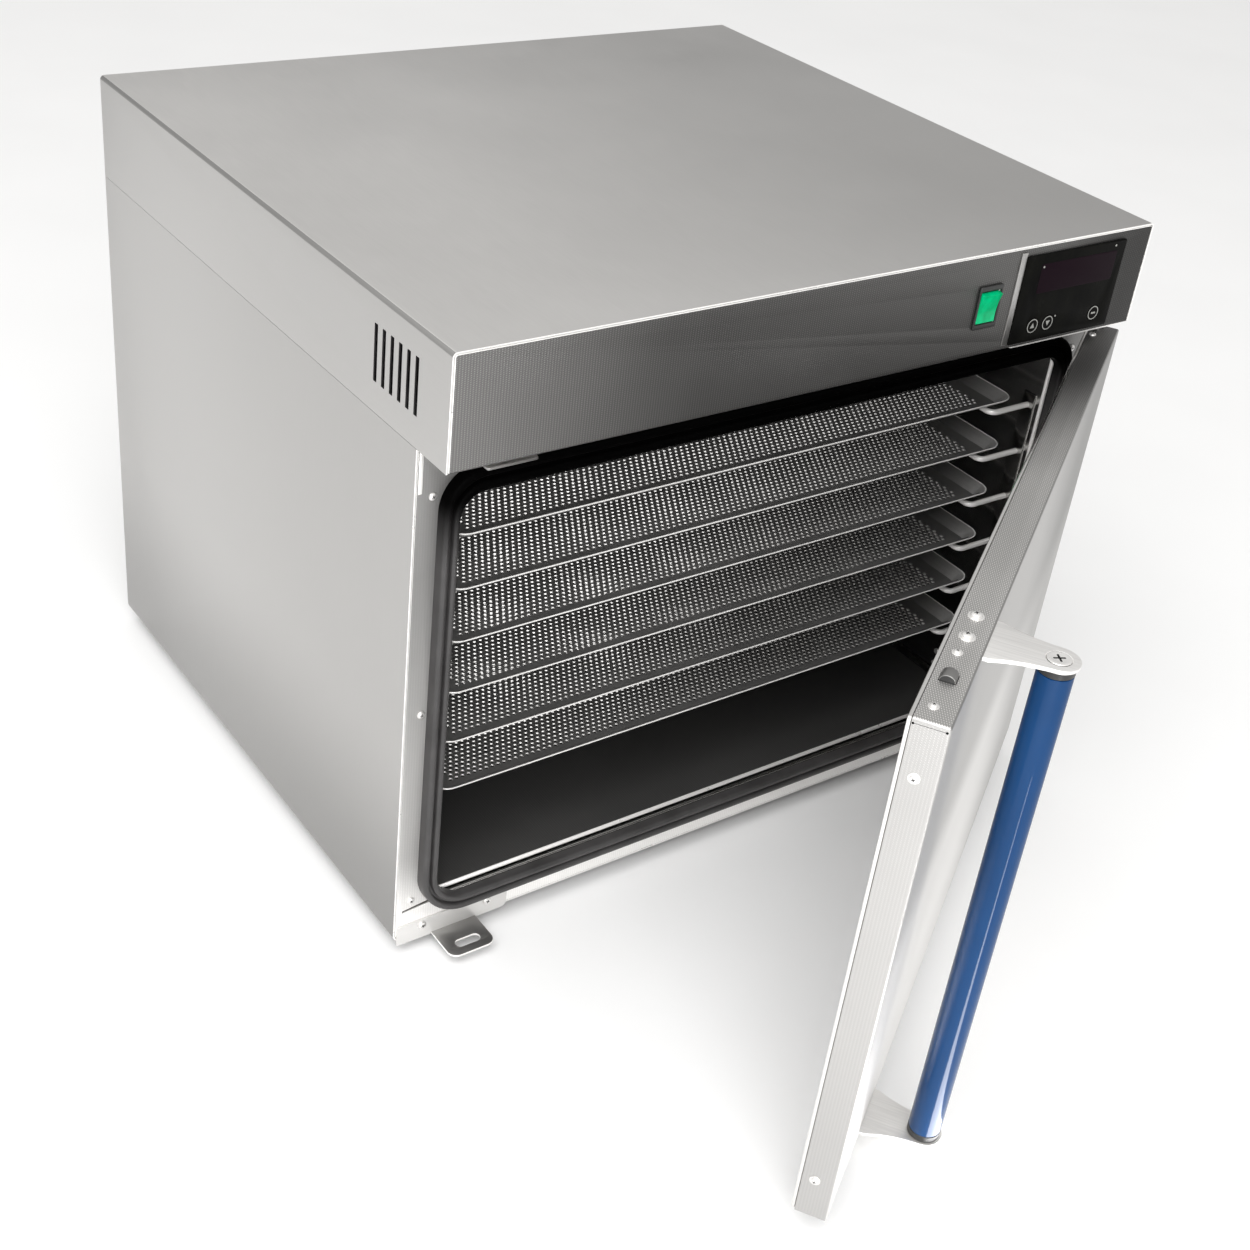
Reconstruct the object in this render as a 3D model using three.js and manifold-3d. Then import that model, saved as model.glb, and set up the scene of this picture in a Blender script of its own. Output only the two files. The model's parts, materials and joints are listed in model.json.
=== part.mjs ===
// Countertop proofing cabinet for six 600 x 400 mm bakery trays, door hinged on the right.
// Millimetres. X runs along the front, Y from the front to the back, Z up.
// The origin is the centre of the body's underside, where the sheet meets the feet.
import * as THREE from "three";
import { mergeVertices } from "three/addons/utils/BufferGeometryUtils.js";
import Module from "manifold-3d";

const wasm = await Module();
wasm.setup();

// ---- Driving dimensions ----
const WIDTH = 720;
const BODY_DEPTH = 588;
const BODY_HEIGHT = 484;
const HOOD_HEIGHT = 94;
const OVERHANG = 42; // the hood stands this far in front of the body
const SHEET = 1.5; // casing sheet
const LINER = 1; // chamber sheet
const GAP = 0.3; // working clearance between neighbouring pieces
const BODY_BEND = 10; // outside bend radius along the bottom edges
const HOOD_BEND = 4; // outside bend radius along the top edges
const FOOT_HEIGHT = 12;
const FOOT_X = 300;
const FOOT_Y = 236;
const SEAT_RADIUS = 21; // pressed dimple that each foot sits in
const SEAT_DEPTH = 1;

const CHAMBER_HALF = 323; // chamber, inside
const CHAMBER_FLOOR = 38.5;
const CHAMBER_TOP = 448;
const CHAMBER_BACK = 225;
const CHAMBER_CORNER = 18;

const GASKET_HALF = 339; // door seal, outside
const GASKET_BOTTOM = 21;
const GASKET_TOP = 463.5;
const GASKET_CORNER = 36;
const GASKET_HEIGHT = 11.4;

const TRAY_COUNT = 6;
const TRAY_PITCH = 50;
const TRAY_LENGTH = 614;
const TRAY_WIDTH = 400;
const TRAY_DEPTH = 10;
const TRAY_SHEET = 1;
const TRAY_CORNER = 14;
const TRAY_X = -8; // the trays stand to the left of centre
const TRAY_FRONT = -282; // front edge of the rims
const TOP_TRAY = 382.6; // underside of the highest tray
const WIRE = 2.5; // runner wire radius
const RUNNER_IN_LEFT = 28; // how far a runner stands into the chamber
const RUNNER_IN_RIGHT = 50;

const DOOR_HALF = 354; // door, closed
const DOOR_BOTTOM = 12;
const DOOR_TOP = 472;
const DOOR_FRONT = -334.5;
const DOOR_BACK = -306;
const DOOR_SHEET = 1.5;
const DOOR_LINER = 3; // thickness of the door's inner panel
const DOOR_OPEN = 33.5; // degrees the door stands open at rest
const HINGE_X = 347;
const HINGE_Y = -316;
const PIN = 4; // hinge pin radius

const HANDLE_X = -237;
const HANDLE_Y = -380.5;
const HANDLE_RADIUS = 13;
const ARM_THICKNESS = 3;
const ARM_HALF_ROOT = 25;
const ARM_TIP = 15;
const COLLAR = 6; // height of the ring at each end of the grip
const CATCH_X = -300;
const CATCH_Y = -320;
const CATCH_HALF = 5.5;

const SWITCH_X = 164;
const SWITCH_Z = 529;
const ROCKER_TILT = 8; // degrees, top edge out
const PANEL_X = 263;
const PANEL_Z = 528;
const PANEL_W = 125;
const PANEL_H = 81;
const KEY_Z = 502;
const KEY_RADIUS = 7;
const KEYS = { key_up: 226, key_down: 245, key_set: 304 };

const FAN_Z = 250;
const FAN_RADIUS = 62;

// ---- Values that follow from them ----
const HALF = WIDTH / 2;
const FRONT = -BODY_DEPTH / 2;
const REAR = BODY_DEPTH / 2;
const HOOD_FRONT = FRONT - OVERHANG;
const SEAM = BODY_HEIGHT;
const TOP = BODY_HEIGHT + HOOD_HEIGHT;
const CASE_INSIDE = HALF - SHEET;
const ROCKER_Y = HOOD_FRONT + 2;
const BODY_CORNER = BODY_BEND - SHEET; // corners of plates that lie inside the folded sheets
const HOOD_CORNER = HOOD_BEND - SHEET;

// ---- Finishes ----
function finish(color, roughness, metalness) {
  return new THREE.MeshStandardMaterial({ color, roughness, metalness });
}
const brushed = finish(0xb9b5b3, 0.34, 0.9);
const linen = finish(0xa9a5a3, 0.4, 0.9);
const polished = finish(0xc4c2c1, 0.16, 1);
const aluminium = finish(0x8d8a88, 0.32, 0.9);
const rubber = finish(0x161515, 0.7, 0);
const blackPlastic = finish(0x1b1a1b, 0.45, 0);
const blackGlass = finish(0x120f12, 0.1, 0);
const blueTube = finish(0x0b3f86, 0.22, 0.1);
const greenLens = finish(0x0fae6c, 0.25, 0);
const wool = finish(0xd8cfa8, 0.95, 0);
const board = finish(0x1e5a34, 0.6, 0);

// ---- Geometry helpers ----
// A rounded rectangle, counter-clockwise; radii run bottom-left, bottom-right, top-right, top-left.
function roundedOutline(x0, x1, y0, y1, radii, steps = 3) {
  const [a, b, c, d] = Array.isArray(radii) ? radii : [radii, radii, radii, radii];
  const corners = [
    [x0 + a, y0 + a, a, Math.PI],
    [x1 - b, y0 + b, b, 1.5 * Math.PI],
    [x1 - c, y1 - c, c, 0],
    [x0 + d, y1 - d, d, 0.5 * Math.PI],
  ];
  const points = [];
  for (const [x, y, radius, start] of corners) {
    for (let i = 0; i <= steps; i++) {
      const angle = start + (i / steps) * (Math.PI / 2);
      points.push([x + radius * Math.cos(angle), y + radius * Math.sin(angle)]);
    }
  }
  return points;
}

function circleOutline(radius, sides, x = 0, y = 0) {
  return Array.from({ length: sides }, (_, i) => {
    const angle = ((i + 0.5) / sides) * 2 * Math.PI;
    return [x + radius * Math.cos(angle), y + radius * Math.sin(angle)];
  });
}

// Turns every triangle over when the closed surface faces inwards.
function facingOut(geometry) {
  const p = geometry.attributes.position;
  const index = geometry.index.array;
  const [a, b, c] = [new THREE.Vector3(), new THREE.Vector3(), new THREE.Vector3()];
  let volume = 0;
  for (let i = 0; i < index.length; i += 3) {
    a.fromBufferAttribute(p, index[i]);
    b.fromBufferAttribute(p, index[i + 1]);
    c.fromBufferAttribute(p, index[i + 2]);
    volume += a.dot(b.cross(c));
  }
  if (volume < 0) {
    for (let i = 0; i < index.length; i += 3) {
      [index[i], index[i + 1]] = [index[i + 1], index[i]];
    }
  }
  return geometry;
}

// Joins convex outlines of equal length into a closed skin. Each section is [outline, height].
// With ring = true the last section joins the first; otherwise both ends are capped.
function loft(sections, axis = "z", ring = false) {
  const count = sections[0][0].length;
  const vertices = [];
  for (const [outline, height] of sections) {
    for (const [u, v] of outline) {
      vertices.push(...(axis === "z" ? [u, v, height] : [u, height, v]));
    }
  }
  const triangles = [];
  const last = ring ? sections.length : sections.length - 1;
  for (let s = 0; s < last; s++) {
    const low = s * count;
    const high = ((s + 1) % sections.length) * count;
    for (let i = 0; i < count; i++) {
      const j = (i + 1) % count;
      triangles.push(low + i, low + j, high + j, low + i, high + j, high + i);
    }
  }
  if (!ring) {
    const end = (sections.length - 1) * count;
    for (let i = 1; i < count - 1; i++) {
      triangles.push(0, i + 1, i, end, end + i, end + i + 1);
    }
  }
  const geometry = new THREE.BufferGeometry();
  geometry.setAttribute("position", new THREE.Float32BufferAttribute(vertices, 3));
  geometry.setIndex(triangles);
  return facingOut(geometry);
}

function prism(outline, low, high, axis = "z") {
  return loft([[outline, low], [outline, high]], axis);
}

function block(x0, x1, y0, y1, z0, z1) {
  const box = new THREE.BoxGeometry(x1 - x0, y1 - y0, z1 - z0);
  return box.translate((x0 + x1) / 2, (y0 + y1) / 2, (z0 + z1) / 2);
}

// A round wire along a path, mitred at each point. The normal is square to the first stretch.
function wire(path, radius, normal, sides = 8) {
  const points = path.map((p) => new THREE.Vector3(...p));
  const directions = points.slice(1).map((p, i) => p.clone().sub(points[i]).normalize());
  const up = new THREE.Vector3(...normal);
  const side = up.clone().cross(directions[0]);
  const vertices = [];
  points.forEach((point, i) => {
    const before = directions[Math.max(i - 1, 0)];
    const after = directions[Math.min(i, directions.length - 1)];
    const mitre = before.clone().add(after).normalize();
    for (const [u, v] of circleOutline(radius, sides)) {
      const offset = side.clone().multiplyScalar(u).addScaledVector(up, v);
      offset.addScaledVector(before, -offset.dot(mitre) / before.dot(mitre));
      vertices.push(...offset.add(point).toArray());
    }
    const turn = new THREE.Quaternion().setFromUnitVectors(before, after);
    side.applyQuaternion(turn);
    up.applyQuaternion(turn);
  });
  const triangles = [];
  for (let s = 0; s < points.length - 1; s++) {
    for (let i = 0; i < sides; i++) {
      const j = (i + 1) % sides;
      const low = s * sides;
      const high = low + sides;
      triangles.push(low + i, low + j, high + j, low + i, high + j, high + i);
    }
  }
  const end = (points.length - 1) * sides;
  for (let i = 1; i < sides - 1; i++) {
    triangles.push(0, i + 1, i, end, end + i, end + i + 1);
  }
  const geometry = new THREE.BufferGeometry();
  geometry.setAttribute("position", new THREE.Float32BufferAttribute(vertices, 3));
  geometry.setIndex(triangles);
  return facingOut(geometry);
}

// Points of an arc about a centre, each mapped by place(u, v).
function arc(radius, from, to, steps, place) {
  return Array.from({ length: steps + 1 }, (_, i) => {
    const angle = from + ((to - from) * i) / steps;
    return place(radius * Math.cos(angle), radius * Math.sin(angle));
  });
}

function solidOf(geometry) {
  const bare = new THREE.BufferGeometry();
  bare.setAttribute("position", geometry.attributes.position);
  bare.setIndex(geometry.index);
  const merged = mergeVertices(bare, 1e-4);
  return new wasm.Manifold(
    new wasm.Mesh({
      numProp: 3,
      vertProperties: new Float32Array(merged.attributes.position.array),
      triVerts: new Uint32Array(merged.index.array),
    }),
  );
}

function geometryOf(solid) {
  const mesh = solid.getMesh();
  const geometry = new THREE.BufferGeometry();
  geometry.setAttribute("position", new THREE.BufferAttribute(mesh.vertProperties, 3));
  geometry.setIndex(new THREE.BufferAttribute(mesh.triVerts, 1));
  return geometry;
}

function cut(geometry, tools) {
  return geometryOf(tools.reduce((rest, tool) => rest.subtract(solidOf(tool)), solidOf(geometry)));
}

function join(pieces) {
  const [first, ...others] = pieces.map(solidOf);
  return geometryOf(others.reduce((whole, piece) => whole.add(piece), first));
}

// ---- Scene graph ----
const group = new THREE.Group();
const door = new THREE.Group();
door.position.set(HINGE_X, HINGE_Y, 0);
door.rotation.z = THREE.MathUtils.degToRad(DOOR_OPEN);
group.add(door);

function add(name, geometry, material) {
  geometry.computeVertexNormals();
  const mesh = new THREE.Mesh(geometry, material);
  mesh.name = name;
  group.add(mesh);
  return mesh;
}

// Door pieces are drawn closed; the door group turns them about the hinge.
function addToDoor(name, geometry, material) {
  const mesh = add(name, geometry, material);
  mesh.position.set(-HINGE_X, -HINGE_Y, 0);
  door.add(mesh);
  return mesh;
}

// ---- Casing ----
// Sheet folded to a U: two walls and the side that joins them, with rounded bends.
function foldedSheet(bend, closedAt, openAt, y0, y1) {
  const up = Math.sign(openAt - closedAt);
  const bends = (radius) => {
    const centreX = HALF - bend;
    const centreZ = closedAt + up * bend;
    return [
      ...arc(radius, Math.PI, 1.5 * Math.PI, 5, (u, v) => [-centreX + u, centreZ + up * v]),
      ...arc(radius, 1.5 * Math.PI, 2 * Math.PI, 5, (u, v) => [centreX + u, centreZ + up * v]),
    ];
  };
  const profile = [
    [-HALF, openAt],
    ...bends(bend),
    [HALF, openAt],
    [CASE_INSIDE, openAt],
    ...bends(bend - SHEET).reverse(),
    [-CASE_INSIDE, openAt],
  ];
  const shape = new THREE.Shape(profile.map(([x, z]) => new THREE.Vector2(x, z)));
  const sheet = new THREE.ExtrudeGeometry(shape, { depth: y1 - y0, bevelEnabled: false });
  return sheet.rotateX(Math.PI / 2).translate(0, y1, 0);
}

const footPlaces = [
  [-FOOT_X, -FOOT_Y, "front_left"],
  [FOOT_X, -FOOT_Y, "front_right"],
  [-FOOT_X, FOOT_Y, "rear_left"],
  [FOOT_X, FOOT_Y, "rear_right"],
];

function addCasing() {
  const wrap = foldedSheet(BODY_BEND, 0, SEAM - GAP, FRONT, REAR);
  const rises = footPlaces.map(([x, y]) =>
    prism(circleOutline(SEAT_RADIUS + SHEET, 24, x, y), SHEET / 2, SHEET + SEAT_DEPTH));
  const dimples = footPlaces.map(([x, y]) => prism(circleOutline(SEAT_RADIUS, 24, x, y), -1, SEAT_DEPTH));
  add("body_shell", cut(join([wrap, ...rises]), dimples), brushed);

  const slots = [];
  for (let i = 0; i < 6; i++) {
    const y = FRONT + 2 + i * 12;
    slots.push(block(-HALF - 5, -HALF + 5, y, y + 5, SEAM + 25, SEAM + 71));
    slots.push(block(HALF - 5, HALF + 5, y, y + 5, SEAM + 25, SEAM + 71));
  }
  const cover = foldedSheet(HOOD_BEND, TOP, SEAM, HOOD_FRONT, REAR);
  add("hood_cover", cut(cover, slots), brushed);

  const back = roundedOutline(
    -CASE_INSIDE + GAP, CASE_INSIDE - GAP, SHEET + GAP, TOP - SHEET - GAP,
    [BODY_CORNER, BODY_CORNER, HOOD_CORNER, HOOD_CORNER]);
  const louvres = [];
  for (let i = 0; i < 6; i++) {
    louvres.push(block(-190, -90, REAR - 9, REAR, SEAM + 14 + i * 11, SEAM + 19 + i * 11));
  }
  const glandHole = prism(circleOutline(9, 12, 250, SEAM + 40), REAR - 9, REAR, "y");
  const rearPlate = prism(back, REAR - 3 - SHEET, REAR - 3, "y");
  add("rear_panel", cut(rearPlate, [...louvres, glandHole]), brushed);

  const floor = block(
    -CASE_INSIDE + GAP, CASE_INSIDE - GAP, HOOD_FRONT + SHEET + GAP, REAR - 5, SEAM, SEAM + SHEET);
  add("hood_floor", floor, brushed);

  const fascia = prism(
    roundedOutline(
      -CASE_INSIDE + GAP, CASE_INSIDE - GAP, SEAM, TOP - SHEET - GAP, [1, 1, HOOD_CORNER, HOOD_CORNER]),
    HOOD_FRONT, HOOD_FRONT + SHEET, "y");
  const switchHole = block(
    SWITCH_X - 11, SWITCH_X + 11, -400, -300, SWITCH_Z - 17, SWITCH_Z + 17);
  const panelHole = block(
    PANEL_X - PANEL_W / 2 + 3, PANEL_X + PANEL_W / 2 - 3, -400, -300,
    PANEL_Z - PANEL_H / 2 + 3, PANEL_Z + PANEL_H / 2 - 3);
  add("fascia", cut(fascia, [switchHole, panelHole]), linen);

  for (const [x, y, place] of footPlaces) {
    const foot = loft([
      [circleOutline(15, 16, x, y), -FOOT_HEIGHT],
      [circleOutline(18, 16, x, y), -FOOT_HEIGHT + 4],
      [circleOutline(18, 16, x, y), SEAT_DEPTH - 0.02],
    ]);
    add("foot_" + place, foot, rubber);
  }
}

// ---- Front frame, seal and chamber ----
function chamberOutline(grow, steps = 3) {
  return roundedOutline(
    -CHAMBER_HALF - grow, CHAMBER_HALF + grow, CHAMBER_FLOOR - grow, CHAMBER_TOP + grow,
    CHAMBER_CORNER + grow, steps);
}

// Round holes where the runner wires pass through a side wall.
function runnerHoles(side) {
  const holes = [];
  for (let i = 0; i < TRAY_COUNT; i++) {
    for (const y of [TRAY_FRONT + 4, TRAY_FRONT + TRAY_WIDTH - 20]) {
      const hole = prism(circleOutline(WIRE + 0.5, 8, y, runnerHeight(i)), -4, 4);
      hole.rotateY(Math.PI / 2).rotateX(Math.PI / 2);
      holes.push(hole.translate(side * (CHAMBER_HALF + 0.5), 0, 0));
    }
  }
  return holes;
}

function runnerHeight(level) {
  return TOP_TRAY - level * TRAY_PITCH - WIRE - GAP;
}

function addChamber() {
  const frameOuter = roundedOutline(
    -CASE_INSIDE + GAP, CASE_INSIDE - GAP, SHEET + GAP, SEAM - GAP, [BODY_CORNER, BODY_CORNER, 1, 1]);
  const frameInner = chamberOutline(LINER + GAP);
  const frame = loft([
    [frameOuter, FRONT],
    [frameOuter, FRONT + SHEET],
    [frameInner, FRONT + SHEET],
    [frameInner, FRONT],
  ], "y", true);
  add("front_frame", frame, linen);

  const box = loft([
    [chamberOutline(LINER), CHAMBER_BACK + LINER],
    [chamberOutline(LINER), FRONT],
    [chamberOutline(0), FRONT],
    [chamberOutline(0), CHAMBER_BACK],
  ], "y");
  const shaftHole = prism(circleOutline(8, 12, 0, FAN_Z), CHAMBER_BACK - 5, CHAMBER_BACK + 5, "y");
  add("chamber_liner", cut(box, [...runnerHoles(-1), ...runnerHoles(1), shaftHole]), polished);

  const woolOuter = roundedOutline(
    -CASE_INSIDE + 1, CASE_INSIDE - 1, SHEET + 1.5, SEAM - 1.5, [BODY_CORNER, BODY_CORNER, 1, 1]);
  const woolInner = chamberOutline(LINER + 4);
  const jacket = loft([
    [woolOuter, REAR - 7],
    [woolOuter, FRONT + 3],
    [woolInner, FRONT + 3],
    [woolInner, CHAMBER_BACK + 4],
  ], "y");
  const motorRoom = prism(circleOutline(44, 16, 0, FAN_Z), CHAMBER_BACK, REAR, "y");
  add("insulation_jacket", cut(jacket, [motorRoom]), wool);

  // Two lips with a groove between them, standing on a common base.
  const sealOutline = (inset) => roundedOutline(
    -GASKET_HALF + inset, GASKET_HALF - inset, GASKET_BOTTOM + inset * 1.2,
    GASKET_TOP - inset, GASKET_CORNER - inset, 5);
  const front = FRONT - GASKET_HEIGHT;
  const seal = loft([
    [sealOutline(0), FRONT - GAP / 2],
    [sealOutline(0.5), front + 2],
    [sealOutline(2), front],
    [sealOutline(4.5), front + 1],
    [sealOutline(6), front + 6],
    [sealOutline(8), front + 6],
    [sealOutline(9.5), front + 1],
    [sealOutline(12), front],
    [sealOutline(14), front + 2],
    [sealOutline(14.5), FRONT - GAP / 2],
  ], "y", true);
  add("door_gasket", seal, rubber);

  const plateProfile = [[-291, 44], [-290, 45], [165, 45], [165, 43.8], [-289.8, 43.8], [-289.8, 42], [-291, 42]];
  const plateShape = new THREE.Shape(plateProfile.map(([y, z]) => new THREE.Vector2(y, z)));
  const plate = new THREE.ExtrudeGeometry(plateShape, { depth: 630, bevelEnabled: false });
  plate.rotateY(Math.PI / 2).rotateX(Math.PI / 2).translate(-315, 0, 0);
  add("floor_plate", plate, linen);
}

// ---- Rack and trays ----
// One U-shaped runner under each tray, welded to two upright strips behind the chamber wall.
function addRack(name, side, reach) {
  const pieces = [];
  const inside = side * (CHAMBER_HALF - reach);
  const outside = side * (CHAMBER_HALF + LINER + 1.2);
  const frontLeg = TRAY_FRONT + 4;
  const rearLeg = TRAY_FRONT + TRAY_WIDTH - 20;
  const bend = 7;
  for (let i = 0; i < TRAY_COUNT; i++) {
    const z = runnerHeight(i);
    const corner = (y) => (u, v) => [inside + side * (bend - u), y + v, z];
    const path = [
      [outside, frontLeg, z],
      ...arc(bend, -Math.PI / 2, 0, 3, corner(frontLeg + bend)),
      ...arc(bend, 0, Math.PI / 2, 3, corner(rearLeg - bend)),
      [outside, rearLeg, z],
    ];
    pieces.push(wire(path, WIRE, [0, 0, 1]));
  }
  const low = runnerHeight(TRAY_COUNT - 1) - 12;
  const high = runnerHeight(0) + 12;
  const wallSide = side * (CHAMBER_HALF + LINER + 0.4);
  const farSide = side * (CHAMBER_HALF + LINER + 2.4);
  for (const y of [frontLeg, rearLeg]) {
    const strip = block(
      Math.min(wallSide, farSide), Math.max(wallSide, farSide), y - 8, y + 8, low, high);
    pieces.push(strip);
  }
  add(name, join(pieces), polished);
}

function addTrays() {
  const rim = (inset) => roundedOutline(
    TRAY_X - TRAY_LENGTH / 2 + inset, TRAY_X + TRAY_LENGTH / 2 - inset,
    TRAY_FRONT + inset, TRAY_FRONT + TRAY_WIDTH - inset, Math.max(TRAY_CORNER - inset, 2));
  for (let i = 0; i < TRAY_COUNT; i++) {
    const z = TOP_TRAY - i * TRAY_PITCH;
    const pan = loft([
      [rim(TRAY_DEPTH), z],
      [rim(0), z + TRAY_DEPTH],
      [rim(TRAY_SHEET * 1.4), z + TRAY_DEPTH],
      [rim(TRAY_DEPTH + 0.4), z + TRAY_SHEET],
    ]);
    add("tray_" + (i + 1), pan, aluminium);
  }
}

// ---- Air circulation behind the trays ----
function addAirSystem() {
  const plate = block(-318, 318, 170, 171, 52, 440);
  const openings = [prism(circleOutline(48, 20, 0, FAN_Z), 160, 180, "y")];
  for (let i = 0; i < 6; i++) {
    for (const x of [-300, 270]) {
      openings.push(block(x, x + 30, 160, 180, 80 + i * 58, 100 + i * 58));
    }
  }
  add("air_baffle", cut(plate, openings), polished);

  const ring = arc(85, -1.3, Math.PI + 1.3, 18, (u, v) => [u, 198, FAN_Z + v]);
  add("heating_element", wire(ring, 4, [0, 1, 0], 6), polished);

  const hub = prism(circleOutline(12, 12, 0, FAN_Z), 185, 210, "y");
  const disc = prism(circleOutline(FAN_RADIUS, 20, 0, FAN_Z), 208.5, 210, "y");
  const blades = Array.from({ length: 8 }, (_, i) => {
    const blade = block(-1, 1, 186, 209, 11, FAN_RADIUS - 3);
    blade.rotateY((i * Math.PI) / 4);
    return blade.translate(0, 0, FAN_Z);
  });
  const bore = prism(circleOutline(3.1, 12, 0, FAN_Z), 180, 215, "y");
  add("fan_wheel", cut(join([hub, disc, ...blades]), [bore]), aluminium);
  add("fan_shaft", prism(circleOutline(3, 12, 0, FAN_Z), 182, 250, "y"), polished);

  const stator = prism(circleOutline(38, 16, 0, FAN_Z), 232, 276, "y");
  const shaftRoom = prism(circleOutline(3.6, 12, 0, FAN_Z), 225, 256, "y");
  add("fan_motor", cut(stator, [shaftRoom]), blackPlastic);
  add("temperature_probe", prism(circleOutline(3, 8, 210, 198), 380, CHAMBER_TOP - GAP), polished);
}

// ---- Controls in the hood ----
function addControls() {
  const panelBack = HOOD_FRONT + SHEET + 6;
  const face = HOOD_FRONT - 2;
  const outer = (inset) => roundedOutline(
    PANEL_X - PANEL_W / 2 + inset, PANEL_X + PANEL_W / 2 - inset,
    PANEL_Z - PANEL_H / 2 + inset, PANEL_Z + PANEL_H / 2 - inset, 1.5);
  const housing = loft([
    [outer(0.6), face],
    [outer(0), face + 0.8],
    [outer(0), HOOD_FRONT - 0.2],
    [outer(3.5), HOOD_FRONT - 0.2],
    [outer(3.5), panelBack],
  ], "y");
  const wells = Object.values(KEYS).map((x) =>
    prism(circleOutline(KEY_RADIUS + 0.4, 20, x, KEY_Z), face - 5, face + 2.2, "y"));
  add("controller_panel", cut(housing, wells), blackGlass);
  for (const [name, x] of Object.entries(KEYS)) {
    add(name, prism(circleOutline(KEY_RADIUS, 20, x, KEY_Z), face - 0.3, face + 1.4, "y"), blackGlass);
  }
  add("controller_board", block(
    PANEL_X - 52, PANEL_X + 52, panelBack + 2, panelBack + 3.6, PANEL_Z - 30, PANEL_Z + 30), board);

  // Rocker pivots on a horizontal axle line inside the bezel.
  const bezelOuter = (inset) => roundedOutline(
    SWITCH_X - 13.5 + inset, SWITCH_X + 13.5 - inset, SWITCH_Z - 19.5 + inset, SWITCH_Z + 19.5 - inset, 1.5);
  const bezel = loft([
    [bezelOuter(0.8), HOOD_FRONT - 2.2],
    [bezelOuter(0), HOOD_FRONT - 1.4],
    [bezelOuter(0), HOOD_FRONT - 0.2],
    [bezelOuter(3), HOOD_FRONT - 0.2],
    [bezelOuter(3), HOOD_FRONT + 22],
  ], "y");
  const pocket = block(SWITCH_X - 10, SWITCH_X + 10, HOOD_FRONT - 9, HOOD_FRONT + 17, SWITCH_Z - 15, SWITCH_Z + 15);
  add("switch_bezel", cut(bezel, [pocket]), blackPlastic);

  const rocker = new THREE.Shape();
  rocker.moveTo(-13.6, 0);
  rocker.lineTo(-13.6, 6.5);
  rocker.quadraticCurveTo(0, 3, 13.6, 6.5);
  rocker.lineTo(13.6, 0);
  rocker.lineTo(4, -8);
  rocker.lineTo(-4, -8);
  rocker.closePath();
  const lens = new THREE.ExtrudeGeometry(rocker, { depth: 19, bevelEnabled: false, curveSegments: 6 });
  lens.translate(0, 0, -9.5).rotateY(Math.PI / 2).rotateZ(Math.PI);
  lens.rotateX(THREE.MathUtils.degToRad(ROCKER_TILT));
  add("switch_rocker", lens, greenLens).position.set(SWITCH_X, ROCKER_Y, SWITCH_Z);

  add("terminal_block", block(150, 210, 150, 180, SEAM + SHEET, SEAM + SHEET + 22), blackPlastic);
}

// ---- Mains lead at the back ----
function addLead() {
  const x = 250;
  const z = SEAM + 40;
  const nut = prism(circleOutline(12, 6, x, z), REAR - 2.7, REAR + 8, "y");
  const stem = prism(circleOutline(8.6, 12, x, z), REAR - 12, REAR + 12, "y");
  const bore = prism(circleOutline(4.8, 12, x, z), REAR - 20, REAR + 20, "y");
  add("cable_gland", cut(join([nut, stem]), [bore]), blackPlastic);

  const rest = -FOOT_HEIGHT + 4.4;
  const drop = new THREE.CatmullRomCurve3([
    new THREE.Vector3(x, REAR + 16, z),
    new THREE.Vector3(x, REAR + 34, z - 20),
    new THREE.Vector3(x, REAR + 38, z - 120),
    new THREE.Vector3(x, REAR + 36, 120),
    new THREE.Vector3(x - 6, REAR + 40, 30),
    new THREE.Vector3(x - 40, REAR + 44, rest),
    new THREE.Vector3(x - 150, REAR + 46, rest),
    new THREE.Vector3(x - 260, REAR + 46, rest),
  ]);
  const path = [[x, REAR - 18, z], ...drop.getPoints(28).map((p) => p.toArray())];
  add("mains_cable", wire(path, 4.2, [0, 0, 1], 8), rubber);

  const plugX = x - 260.4;
  const plugY = REAR + 46;
  const along = (inset, half) => roundedOutline(plugY - half, plugY + half, -12 + inset, 12 + 2 * (half - 12), 6);
  const plug = loft([
    [along(4, 7), 0],
    [along(0, 17), -16],
    [along(0, 17), -36],
    [along(0, 15), -38],
  ]);
  plug.rotateY(Math.PI / 2).rotateX(Math.PI / 2).translate(plugX, 0, 0);
  add("mains_plug", plug, rubber);
}

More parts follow.
